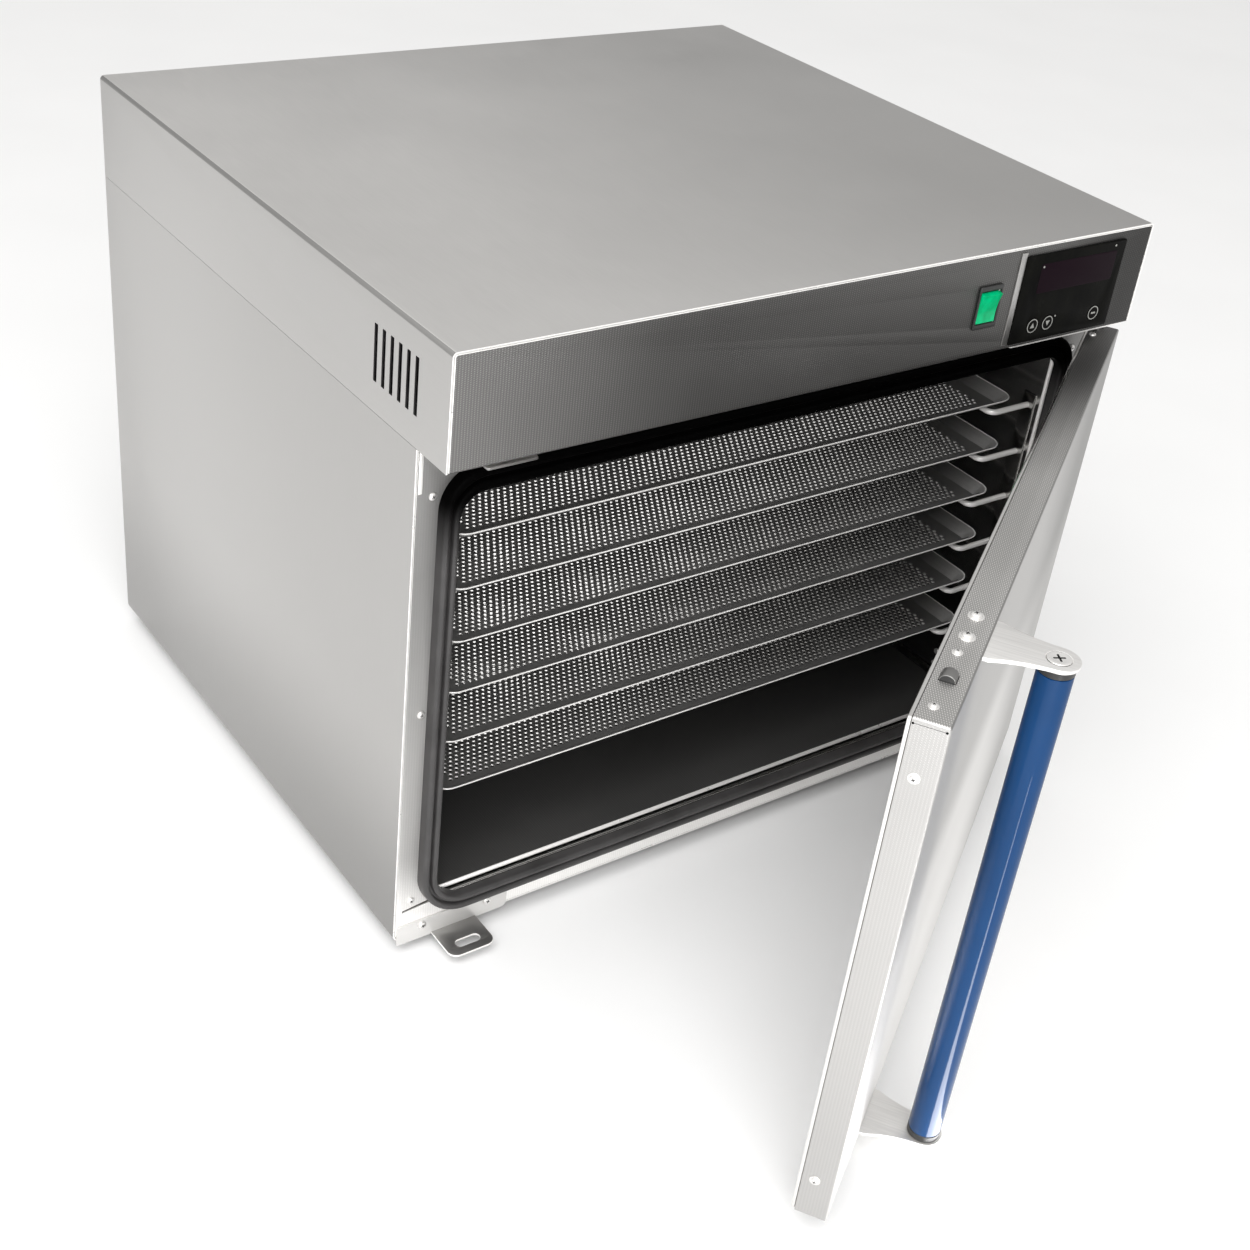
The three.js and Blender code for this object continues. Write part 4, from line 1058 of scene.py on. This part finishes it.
def add_controller():
    x0, x1, face, y1, z0, z1 = span("controller_panel")
    keys = {name: span(name) for name in ("key_up", "key_down", "key_set")}
    wells = []
    for kx0, kx1, _, _, kz0, kz1 in keys.values():
        wells.append(circle((kx1 - kx0) / 2 + 0.3, 32, (kx0 + kx1) / 2, (kz0 + kz1) / 2))
    outline = rounded(x0, x1, z0, z1, 1.5)
    front = plate(outline, wells, face, HOOD_FRONT - 0.2, facing, edge=0.5, steps=3)
    outline = rounded(x0 + 3.5, x1 - 3.5, z0 + 3.5, z1 - 3.5, 1.5)
    back = plate(outline, [], HOOD_FRONT + 0.1, y1, facing)
    remake("controller_panel", front.join(back), "cabinet", "panel_black", [gloss])

    outline = rounded(x0 + 20, x1 - 10, z0 + 45, z1 - 9, 2)
    pane = plate(outline, [], face - 0.12, face + 0.2, facing, edge=0.05)
    piece("display_window_fine", pane, "cabinet", "panel_black", [window])
    for name, (kx0, kx1, ky0, ky1, kz0, kz1) in keys.items():
        x, z = (kx0 + kx1) / 2, (kz0 + kz1) / 2
        radius = (kx1 - kx0) / 2
        cap = lathe([(radius - 0.3, ky0), (radius, ky0 + 0.3), (radius, ky1)], facing, x, z)
        print_low, print_high = ky0 - 0.08, ky0 + 0.05
        ring = plate(circle(radius - 0.5, 40, x, z), [circle(radius - 1.35, 40, x, z)],
                     print_low, print_high, facing, edge=0.02, finish=1)
        mark = {
            "key_up": [(x - 2.6, z - 2.0), (x + 2.6, z - 2.0), (x, z + 2.8)],
            "key_down": [(x - 2.6, z + 2.0), (x, z - 2.8), (x + 2.6, z + 2.0)],
            "key_set": rounded(x - 2.8, x + 2.8, z - 0.8, z + 0.8, 0.7),
        }[name]
        sign = plate(mark, [], print_low, print_high, facing, edge=0.02, finish=1)
        body = name.replace("key_", "") + "_key"
        remake(name, cap.join(ring, sign), body, "panel_black", [gloss, print_light])

    # The dots are small discs in the light grey print finish.
    dot_shapes = Shape()
    for x, z, radius in PANEL_DOTS:
        profile = [(radius, face + 0.1), (radius, face - 0.15), (radius * 0.6, face - 0.35)]
        dot_shapes.join(lathe(profile, facing, x, z, 16))
    piece("panel_dots", dot_shapes, "cabinet", "panel_black", [print_light])
    outline = rounded(x0 - 7.2, x0 - 0.4, z0 + 0.5, z1 + 4, 0.6)
    strip = plate(outline, [], HOOD_FRONT - 1.0, HOOD_FRONT, facing)
    piece("panel_side_strip", strip, "cabinet", "casing_steel", [casing_upright])


ROCKER_TILT = 8


def add_switch():
    x0, x1, y0, y1, z0, z1 = span("switch_bezel")
    rx0, rx1 = x0 + 2.4, x1 - 2.4
    opening = rounded(rx0 - 0.5, rx1 + 0.5, z0 + 4.5, z1 - 4.5, 0.8)
    outline = rounded(x0, x1, z0, z1, 1.5)
    shape = plate(outline, [opening], y0, HOOD_FRONT - 0.2, facing, edge=0.7, steps=4)
    inner = rounded(rx0 + 2.4, rx1 - 2.4, z0 + 4.5, z1 - 4.5, 0.8)
    outline = rounded(x0 + 3, x1 - 3, z0 + 3, z1 - 3, 1)
    box = plate(outline, [inner], HOOD_FRONT + 11, y1, facing)
    remake("switch_bezel", shape.join(box), "cabinet", "black_plastic", [black])

    # Side profile of the rocker, drawn level and then tilted about its axle.
    axle = Matrix.Translation((0, HOOD_FRONT + 2, (z0 + z1) / 2))
    half = 13.2
    crown = [(-5.6 + 1.6 * (1 - (t / half) ** 2), t) for t in np.linspace(-half, half, 17)]
    profile = [(0.0, 13.4), (7.5, 4.0), (7.5, -4.0), (0.0, -13.4)]
    outline = [(float(y), float(z)) for y, z in crown + profile]
    rocker = plate(outline[::-1], [], rx0, rx1, sideways, edge=0.6, steps=4)
    rocker = rocker.moved(axle @ Matrix.Rotation(math.radians(ROCKER_TILT), 4, "X"))
    remake("switch_rocker", rocker, "rocker", "lens_green", [green], sharp=35)


# ---- Feet, lead and plug ----
def add_feet():
    for name in FEET:
        x0, x1, y0, y1, z0, z1 = span(name)
        radius = (x1 - x0) / 2
        rises = [(3.6, 0), (3.0, 0.6), (1.2, 2.6), (0, 4.5), (0, 6.5), (0.7, 7.2), (0.7, 8.2), (0, 8.9)]
        profile = [(radius - inset, z0 + rise) for inset, rise in rises]
        profile += [(radius, z1 - 0.5), (radius - 0.5, z1)]
        foot = lathe(profile, lying, (x0 + x1) / 2, (y0 + y1) / 2, 44)
        remake(name, foot, "cabinet", "black_rubber", [foot_rubber])


def add_lead():
    gx0, gx1, _, _, gz0, gz1 = span("cable_gland")
    x, z = (gx0 + gx1) / 2, (gz0 + gz1) / 2
    inside = 4.8
    hexagon = circle(12, 6, x, z)
    bore = [circle(inside, 32, x, z)]
    gland = plate(hexagon, bore, REAR - 2.7, REAR + 4, facing, edge=0.8, steps=3)
    dome = []
    for i in range(7):
        turn = math.radians(80 * i / 6)
        dome.append((inside + 4.2 * math.cos(turn), REAR + 4 + 7.5 * math.sin(turn)))
    rings = [(circle(radius, 40, x, z), y) for radius, y in [(inside, REAR + 4)] + dome]
    gland.join(loft(standing(rings), ring=True))
    gland.join(plate(circle(8.6, 40, x, z), bore, REAR - 12, REAR - 2.8, facing))
    remake("cable_gland", gland, "cabinet", "black_plastic", [black], sharp=40)

    rest = FLOOR + 4.4
    corners = [
        (0, -18, z), (0, 16, z), (0, 34, z - 20), (0, 38, z - 120), (0, 36, 120),
        (-6, 40, 30), (-40, 44, rest), (-150, 46, rest), (-262, 46, rest),
    ]
    path = smooth_path([Vector((x + dx, REAR + dy, height)) for dx, dy, height in corners], 10)
    remake("mains_cable", tube(path, 4.2, 16), "cabinet", "black_rubber", [rubber], sharp=60)

    x0, x1, y0, y1, z0, z1 = span("mains_plug")
    y = (y0 + y1) / 2
    stations = [
        (x1, 5.2, -11.6, -1), (x1 - 2, 6.2, -11.8, 0.5), (x1 - 12, 8.5, -11.9, 3.0),
        (x1 - 16, 15.5, z0, z1 - 1.5), (x1 - 18, 17, z0, z1), (x0 + 3, 17, z0, z1),
        (x0 + 1, 16.4, z0 + 0.6, z1 - 0.6), (x0, 15, z0 + 2, z1 - 2),
    ]
    sections = []
    for place, half, low, high in stations:
        outline = rounded(y - half, y + half, low, high, 5.5, 8)
        sections.append([sideways(u, v, place) for u, v in outline])
    plug = loft(sections)
    for offset in (-9.5, 9.5):
        profile = [(2.4, x0 + 1), (2.4, x0 - 17), (2.0, x0 - 19)]
        plug.join(lathe(profile, sideways, y + offset, (z0 + z1) / 2, 20, finish=1))
    remake("mains_plug", plug, "cabinet", "black_rubber", [foot_rubber, bright], sharp=50)


def smooth_path(corners, steps):
    """Catmull-Rom curve through the corners."""
    path = []
    padded = [2 * corners[0] - corners[1]] + corners + [2 * corners[-1] - corners[-2]]
    for a, b, c, d in zip(padded, padded[1:], padded[2:], padded[3:]):
        for i in range(steps):
            t = i / steps
            square = (2 * a - 5 * b + 4 * c - d) * t * t
            cube = (3 * b - a - 3 * c + d) * t ** 3
            path.append(0.5 * ((2 * b) + (c - a) * t + square + cube))
    path.append(corners[-1])
    return path


# ---- Brackets and strike ----
CATCH_SLOT = stadium(-300, -320, 24, 9)  # in the strike plate and in the catch bracket


def angle_bracket(name, x0, x1, tab0, tab1, holes, screws):
    """Upright plate screwed to the frame, with a level tab in front of it."""
    sheet = 2
    outline = rounded(x0, x1, -sheet, 18.5, [0.6, 5, 2, 2])
    upright = plate(outline, [], FRONT - sheet, FRONT - 0.05, facing, finish=2, edge_finish=2)
    outline = rounded(tab0, tab1, HOOD_FRONT + 3, FRONT - 0.5, [9, 9, 0.6, 0.6], 8)
    tab = plate(outline, holes, -sheet, -0.05, lying, edge_finish=1)
    # The tab takes the dark satin, painted shade; the upright plate takes the lighter copy, painted light.
    finishes = [satin_painted_shade, edge_bright, upright_plate]
    remake(name, upright.join(tab), "cabinet", "casing_steel", finishes)
    heads = [(Vector((x, FRONT - sheet, z)), "front") for x, z in screws]
    fasteners(name + "_screws", heads, 4.0, "cabinet")


def ended(radius, low, high, edge, step):
    """Profile of a straight rod whose ends are chamfered."""
    return [(radius - step, low), (radius, low + edge), (radius, high - edge), (radius - step, high)]


def add_brackets():
    angle_bracket("catch_bracket", -357, -246, -323, -278, [CATCH_SLOT], [(-333, 13), (-267, 13)])
    angle_bracket("hinge_bracket", 246, 356, 310, 359, [], [(264.8, 10), (331.4, 10)])

    x0, x1, y0, y1, z0, z1 = span("strike_plate")
    # Its edges take the dark satin: painted shade.
    flat = plate(rounded(x0, x1, y0, y1, 2), [CATCH_SLOT], z0, z0 + 2, lying, edge_finish=1)
    step = plate(rounded(x0, x1, z0, z1, 0.6), [], y1 - 2, y1, facing, edge_finish=1)
    remake("strike_plate", flat.join(step), "cabinet", "casing_steel", [casing, satin_painted_shade])

    x0, x1, y0, y1, z0, z1 = span("hinge_plate")
    top_plate = plate(rounded(x0, x1, y0, y1, 3), [], z0, z1, lying, edge_finish=1)
    remake("hinge_plate", top_plate, "cabinet", "casing_steel", [casing, edge_bright])
    heads = [(Vector((x, HOOD_FRONT + 16, z0)), "down") for x in (228, 290)]
    fasteners("hinge_plate_screws", heads, 3.6, "cabinet")

    for end in ("bottom", "top"):
        name = "hinge_pin_" + end
        z0, z1 = span(name)[4:]
        low, high = (z0, z0 + 6) if end == "bottom" else (475, z1)
        pin = lathe(ended(4, z0, z1, 0.5, 0.4), lying, HINGE_X, HINGE_Y, 32)
        collar = lathe(ended(7, low, high, 0.4, 0.4), lying, HINGE_X, HINGE_Y, 32)
        remake(name, pin.join(collar), "cabinet", "bright_steel", [bright])


# ---- Door ----
DX0, DX1, DY0, DY1, DZ0, DZ1 = span("door_outer", door=True)
TUBE_X0, TUBE_X1, TUBE_Y0, TUBE_Y1, TUBE_LOW, TUBE_HIGH = span("handle_tube", door=True)
GRIP_X = (TUBE_X0 + TUBE_X1) / 2
GRIP_Y = (TUBE_Y0 + TUBE_Y1) / 2
GRIP_RADIUS = (TUBE_Y1 - TUBE_Y0) / 2
DOOR_RIM = 2.5  # what counts as the rim of the pan
BOLTS_LARGE = (-217, -245.6)
BOLTS_SMALL = (-267.8, -335.9)
HINGE_BOLT = 323.8
BOLT_ROW = -320
door_inner_mirror = polished("door_inner_steel", 0.85, 0.15, turn=DOOR_ANGLE)
arm_satin = brushed("arm_satin", 0.84, 0.4, grain=(700, 24, 700), mottle=0.12, turn=DOOR_ANGLE, metal=0.75)


def add_door():
    """Pan with its holes, inner panel, the seam at the front corner, and the bolts in its edges."""
    def face(inset):
        radius = max(2.0 - inset, 0.4)
        return rounded(DX0 + inset, DX1 - inset, DZ0 + inset, DZ1 - inset, radius, 5)

    bend = 1.8
    sections = []
    for i in range(6):
        turn = math.radians(90 * i / 5)
        sections.append((face(bend * (1 - math.sin(turn))), DY0 + bend * (1 - math.cos(turn))))
    sections += [(face(0), DY1 - 0.3), (face(0.3), DY1), (face(SHEET - 0.3), DY1)]
    sections += [(face(SHEET), DY1 - 0.3), (face(SHEET), DY0 + SHEET)]
    pan = loft(standing(sections))
    for number, corners in enumerate(pan.faces):
        points = [pan.points[i] for i in corners]
        zs = [p.z for p in points]
        xs = [p.x for p in points]
        behind_bend = min(p.y for p in points) > DY0 + bend * 0.5
        if behind_bend and (min(zs) > DZ1 - DOOR_RIM or max(zs) < DZ0 + DOOR_RIM):
            pan.finishes[number] = 1
        elif behind_bend and (max(xs) < DX0 + DOOR_RIM or min(xs) > DX1 - DOOR_RIM):
            pan.finishes[number] = 2
        # The front bend along the top takes finish 3, the dark satin: painted shade.
        elif min(zs) > DZ1 - DOOR_RIM and max(zs) - min(zs) < DOOR_RIM:
            pan.finishes[number] = 3
    tools = []
    for name in ("handle_arm_bottom", "handle_arm_top"):
        ax0, ax1, _, _, az0, az1 = span(name, door=True)
        slot = rounded(ax0 - 0.4, ax1 + 0.4, az0 - 0.3, az1 + 0.3, 0.3)
        tools.append(plate(slot, [], DY0 - 4, DY0 + 6, facing, edge=0.01))
    for end, z in (("bottom", DZ0), ("top", DZ1)):
        cx0, cx1, cy0, cy1, _, _ = span("catch_" + end, door=True)
        square = rounded(cx0 - 0.5, cx1 + 0.5, cy0 - 0.5, cy1 + 0.5, 0.8)
        tools.append(plate(square, [], z - 5, z + 5, lying, edge=0.01))
        tools.append(plate(circle(5.4, 32, HINGE_X, HINGE_Y), [], z - 4, z + 4, lying, edge=0.01))
    pan = cut(pan, tools)
    finishes = [door_satin, linen_door_top, linen_door_side, satin_painted_shade]
    remake("door_outer", pan, "door", "casing_steel", finishes, door=True)

    x0, x1, y0, y1, z0, z1 = span("door_inner", door=True)
    inner = plate(rounded(x0, x1, z0, z1, 2), [], y0, y1, facing, edge=0.8, steps=4)
    outline = rounded(x0 + 24, x1 - 24, z0 + 24, z1 - 24, 14, 8)
    field = plate(outline, [], y1 - 0.4, y1, facing, edge=0.2)
    remake("door_inner", inner.join(field), "door", "bright_steel", [door_inner_mirror], door=True)

    outline = rounded(DY0 + 2.2, DY1 - 0.6, DZ1 - 4.1, DZ1 - 3.8, 0.1)
    seam = plate(outline, [], DX0 - 0.05, DX0 + 0.1, sideways, edge=0.02)
    for y in (DY0 + 2.4, DY1 - 1.2):
        seam.join(lathe([(0.9, DX0 + 0.1), (0.9, DX0 - 0.06)], sideways, y, DZ1 - 4.0, 16))
    piece("door_corner_seam", seam, "door", "black_rubber", [rubber], door=True)

    large = [(Vector((x, BOLT_ROW, DZ1)), "up") for x in BOLTS_LARGE]
    small = [(Vector((x, BOLT_ROW + 1.6, DZ1)), "up") for x in BOLTS_SMALL]
    left = [(Vector((DX0, BOLT_ROW + 1, z)), "left") for z in (428, 51)]
    hinge_bolt = [(Vector((HINGE_BOLT, -313.9, DZ1)), "up")]
    under = [(Vector((x, BOLT_ROW, DZ0)), "down") for x in BOLTS_LARGE + BOLTS_SMALL + (HINGE_BOLT,)]
    fasteners("door_bolts_large", large, 4.1, "door", door=True, head=ringed_head)
    fasteners("door_bolts_small", small, 2.7, "door", door=True, head=ringed_head)
    fasteners("door_edge_screws", left, 2.9, "door", door=True, head=ringed_head)
    fasteners("door_hinge_bolt", hinge_bolt, 3.4, "door", door=True)
    fasteners("door_under_bolts", under, 3.4, "door", door=True)


def add_handle():
    low = [(GRIP_RADIUS - inset, rise) for inset, rise in ((0.8, 0), (0.2, 0.3), (0, 0.9))]
    profile = [(radius, TUBE_LOW + rise) for radius, rise in low]
    profile += [(radius, TUBE_HIGH - rise) for radius, rise in reversed(low)]
    grip = lathe(profile, lying, GRIP_X, GRIP_Y, 96)
    remake("handle_tube", grip, "door", "handle_blue", [blue], door=True)
    for end in ("bottom", "top"):
        name = "handle_collar_" + end
        z0, z1 = span(name, door=True)[4:]
        collar = lathe(ended(GRIP_RADIUS + 0.1, z0, z1, 0.5, 0.6), lying, GRIP_X, GRIP_Y, 72)
        remake(name, collar, "door", "black_plastic", [black], door=True)
        add_arm(end)


def curve(start, bow, stop):
    """Points between the ends of a quadratic curve."""
    start, bow, stop = Vector(start), Vector(bow), Vector(stop)
    parts = [i / 12 for i in range(1, 12)]
    return [tuple(start * (1 - t) ** 2 + bow * (2 * t * (1 - t)) + stop * t * t) for t in parts]


def add_arm(end):
    """Flat arm with a broad root in the door and a round end over the grip, and its screw."""
    name = "handle_arm_" + end
    x0, x1, _, y1, z0, z1 = span(name, door=True)
    tip = 15
    root = DY0 - 4
    shoulder = GRIP_Y + 24
    outline = [(x0, y1), (x0, root)]
    outline += curve((x0, root), (GRIP_X - tip - 1, shoulder), (GRIP_X - tip, GRIP_Y))
    outline += arc(GRIP_X, GRIP_Y, tip, 180, 360, 24)
    outline += curve((GRIP_X + tip, GRIP_Y), (GRIP_X + tip + 1, shoulder), (x1, root))
    outline += [(x1, root), (x1, y1)]
    shape = plate(outline, [], z0, z1, lying, edge=0.6, steps=4)
    outside, sign, direction = (z1, 1, "up") if end == "top" else (z0, -1, "down")
    profile = [(9.3, sign), (9.3, 0), (9.0, -0.3 * sign), (6.6, -2.2 * sign)]
    profile = [(radius, outside + height) for radius, height in profile]
    # The countersink takes the bright edge finish: a painted highlight ring round the screw.
    sink = lathe(profile, lying, GRIP_X, GRIP_Y, 48, finish=1)
    shape = cut(shape, [sink])
    remake(name, shape, "door", "casing_steel", [arm_satin, edge_bright], door=True)

    profile = [(6.2, -2.2), (8.3, -0.25), (8.6, 0.1), (8.3, 0.5), (6.8, 0.85), (5.6, 0.55), (1.0, 0.55)]
    head = lathe(profile, lying, sides=48)
    # The cross grooves take finish 1, black: painted shade in the recess.
    for u, v in ((4.4, 0.8), (0.8, 4.4)):
        groove = plate(rounded(-u, u, -v, v, 0.4, 2), [], -1.1, 2, lying, edge=0.01, finish=1)
        head = cut(head, [groove])
    spin = Matrix.Rotation(math.radians(28), 4, "Z")
    head = head.moved(Matrix.Translation((GRIP_X, GRIP_Y, outside)) @ TURNS[direction] @ spin)
    remake("handle_screw_" + end, head, "door", "bright_steel", [screw_steel, black], door=True)


def add_catches():
    """Spring catches with a rounded nose; the cheeks are painted black as shade."""
    for end, up in (("top", 1), ("bottom", -1)):
        name = "catch_" + end
        x0, x1, y0, y1, z0, z1 = span(name, door=True)
        tip, root = (z1, z0) if up > 0 else (z0, z1)
        half = (y1 - y0) / 2
        crown = []
        for i in range(17):
            t = -1 + i / 8
            drop = 4.6 * (1 - math.sqrt(1 - 0.96 * t * t))
            crown.append(((y0 + y1) / 2 + half * t, tip - up * drop))
        outline = crown + [(y1, root), (y0, root)]
        if up > 0:
            outline = outline[::-1]
        shape = plate(outline, [], x0, x1, sideways, edge=0.5, steps=3)
        # The cheeks take black: painted shade.
        for number, face in enumerate(shape.faces):
            xs = [shape.points[i].x for i in face]
            if max(xs) < x0 + 0.05 or min(xs) > x1 - 0.05:
                shape.finishes[number] = 1
        body = end + "_catch_nose"
        remake(name, shape, body, "tray_aluminium", [catch_grey, black], door=True, sharp=35)


# ---- Pieces kept from the frame ----
def finish_kept_nodes():
    """Hidden mechanical pieces keep their CAD mesh, with softened edges and real finishes."""
    kept = {
        "insulation_jacket": wool, "door_insulation": wool, "controller_board": board,
        "terminal_block": black, "fan_motor": black, "hinge_bush_bottom": black, "hinge_bush_top": black,
        "air_baffle": mirror, "heating_element": catch_grey, "fan_shaft": bright, "fan_wheel": casing,
        "temperature_probe": bright,
    }
    for name, finish in kept.items():
        item = frame["nodes"][name]
        item.data.materials.clear()
        item.data.materials.append(finish)
        softened = item.modifiers.new("soft_edges", "BEVEL")
        softened.width = 0.3 * MM
        softened.segments = 2
        softened.limit_method = "ANGLE"
        softened.angle_limit = math.radians(40)
        item.modifiers.new("even_normals", "WEIGHTED_NORMAL")


add_casing()
add_fascia()
add_rear_panel()
add_front_frame()
add_liner()
add_floor_plate()
add_gasket()
add_rack("rack_left", -1)
add_rack("rack_right", 1)
add_trays()
add_controller()
add_switch()
add_feet()
add_lead()
add_brackets()
add_door()
add_handle()
add_catches()
finish_kept_nodes()


# ---- Stage, light and camera ----
def add_floor():
    half = 12.0
    mesh = bpy.data.meshes.new("floor")
    corners = [(half * u, half * v, FLOOR * MM) for u, v in CORNER_SIGNS]
    mesh.from_pydata(corners, [], [(0, 1, 2, 3)])
    floor = bpy.data.objects.new("floor", mesh)
    bpy.context.scene.collection.objects.link(floor)
    made = Finish("studio_floor")
    cloud = made.noise((3, 3, 3), 2.0)
    made.set(Base_Color=made.tint(cloud, (0.90, 0.90, 0.90), (0.92, 0.92, 0.92)), Roughness=0.7)
    made.set(Specular_IOR_Level=0.1)
    mesh.materials.append(made.material)


def add_area(name, place, aim, size, power, turn=None):
    """Soft rectangular light; turn lays it flat on the floor instead, turned about the vertical."""
    data = bpy.data.lights.new(name, "AREA")
    data.shape = "RECTANGLE"
    data.size, data.size_y = size
    data.energy = power
    light = bpy.data.objects.new(name, data)
    light.location = place
    if turn is None:
        light.rotation_euler = (Vector(aim) - Vector(place)).to_track_quat("-Z", "Y").to_euler()
    else:
        light.rotation_euler = (math.pi, 0, math.radians(-turn))
        light.visible_camera = False
    bpy.context.scene.collection.objects.link(light)


def add_world():
    """Soft sky, brighter to the front left and dimmer to the back right."""
    world = bpy.data.worlds.new("studio")
    world.use_nodes = True
    tree = world.node_tree
    background = tree.nodes["Background"]
    direction = node(tree, "ShaderNodeTexCoord").outputs["Generated"]
    towards = Vector((-0.55, -0.55, 0.62)).normalized()
    inputs = {0: direction, 1: towards}
    along = node(tree, "ShaderNodeVectorMath", inputs, operation="DOT_PRODUCT").outputs["Value"]
    inputs = {"Value": along, "From Min": -1.0, "From Max": 1.0, "To Min": 0.35, "To Max": 1.05}
    level = node(tree, "ShaderNodeMapRange", inputs).outputs[0]
    background.inputs["Color"].default_value = (1.0, 0.995, 0.985, 1)
    tree.links.new(level, background.inputs["Strength"])
    bpy.context.scene.world = world


CAMERA_PLACE = (-0.9477, -1.2825, 1.0943)
CAMERA_RIGHT = (0.81447, -0.57043, 0.10606)
CAMERA_UP = (0.24079, 0.49865, 0.83271)
CAMERA_AHEAD = (0.52789, 0.65266, -0.54348)


def add_camera():
    """The photograph's camera, as recovered from the cabinet's straight edges."""
    data = bpy.data.cameras.new("camera")
    data.sensor_width = 36.0
    data.lens = 51.54
    data.clip_end = 60.0
    camera = bpy.data.objects.new("camera", data)
    bpy.context.scene.collection.objects.link(camera)
    axes = Matrix((CAMERA_RIGHT, CAMERA_UP, -Vector(CAMERA_AHEAD)))
    camera.matrix_world = Matrix.Translation(CAMERA_PLACE) @ axes.transposed().to_4x4()
    bpy.context.scene.camera = camera


add_floor()
add_area("key_overhead", (-1.6, -1.2, 3.0), (0, 0, 0.2), (2.6, 2.6), 55)
add_area("fill_front", (-1.4, -2.6, 0.9), (0.1, -0.4, 0.2), (1.6, 1.6), 16)
add_area("strip_low", (-0.23, -1.12, -0.008), (-0.23, -1.12, 1.0), (0.045, 0.9), 1.4, turn=19)
add_area("fill_camera", (-1.2, -2.3, 1.5), (0, -0.2, 0.25), (1.2, 1.2), 15)
add_world()
add_camera()
bpy.context.scene.view_settings.view_transform = "Standard"
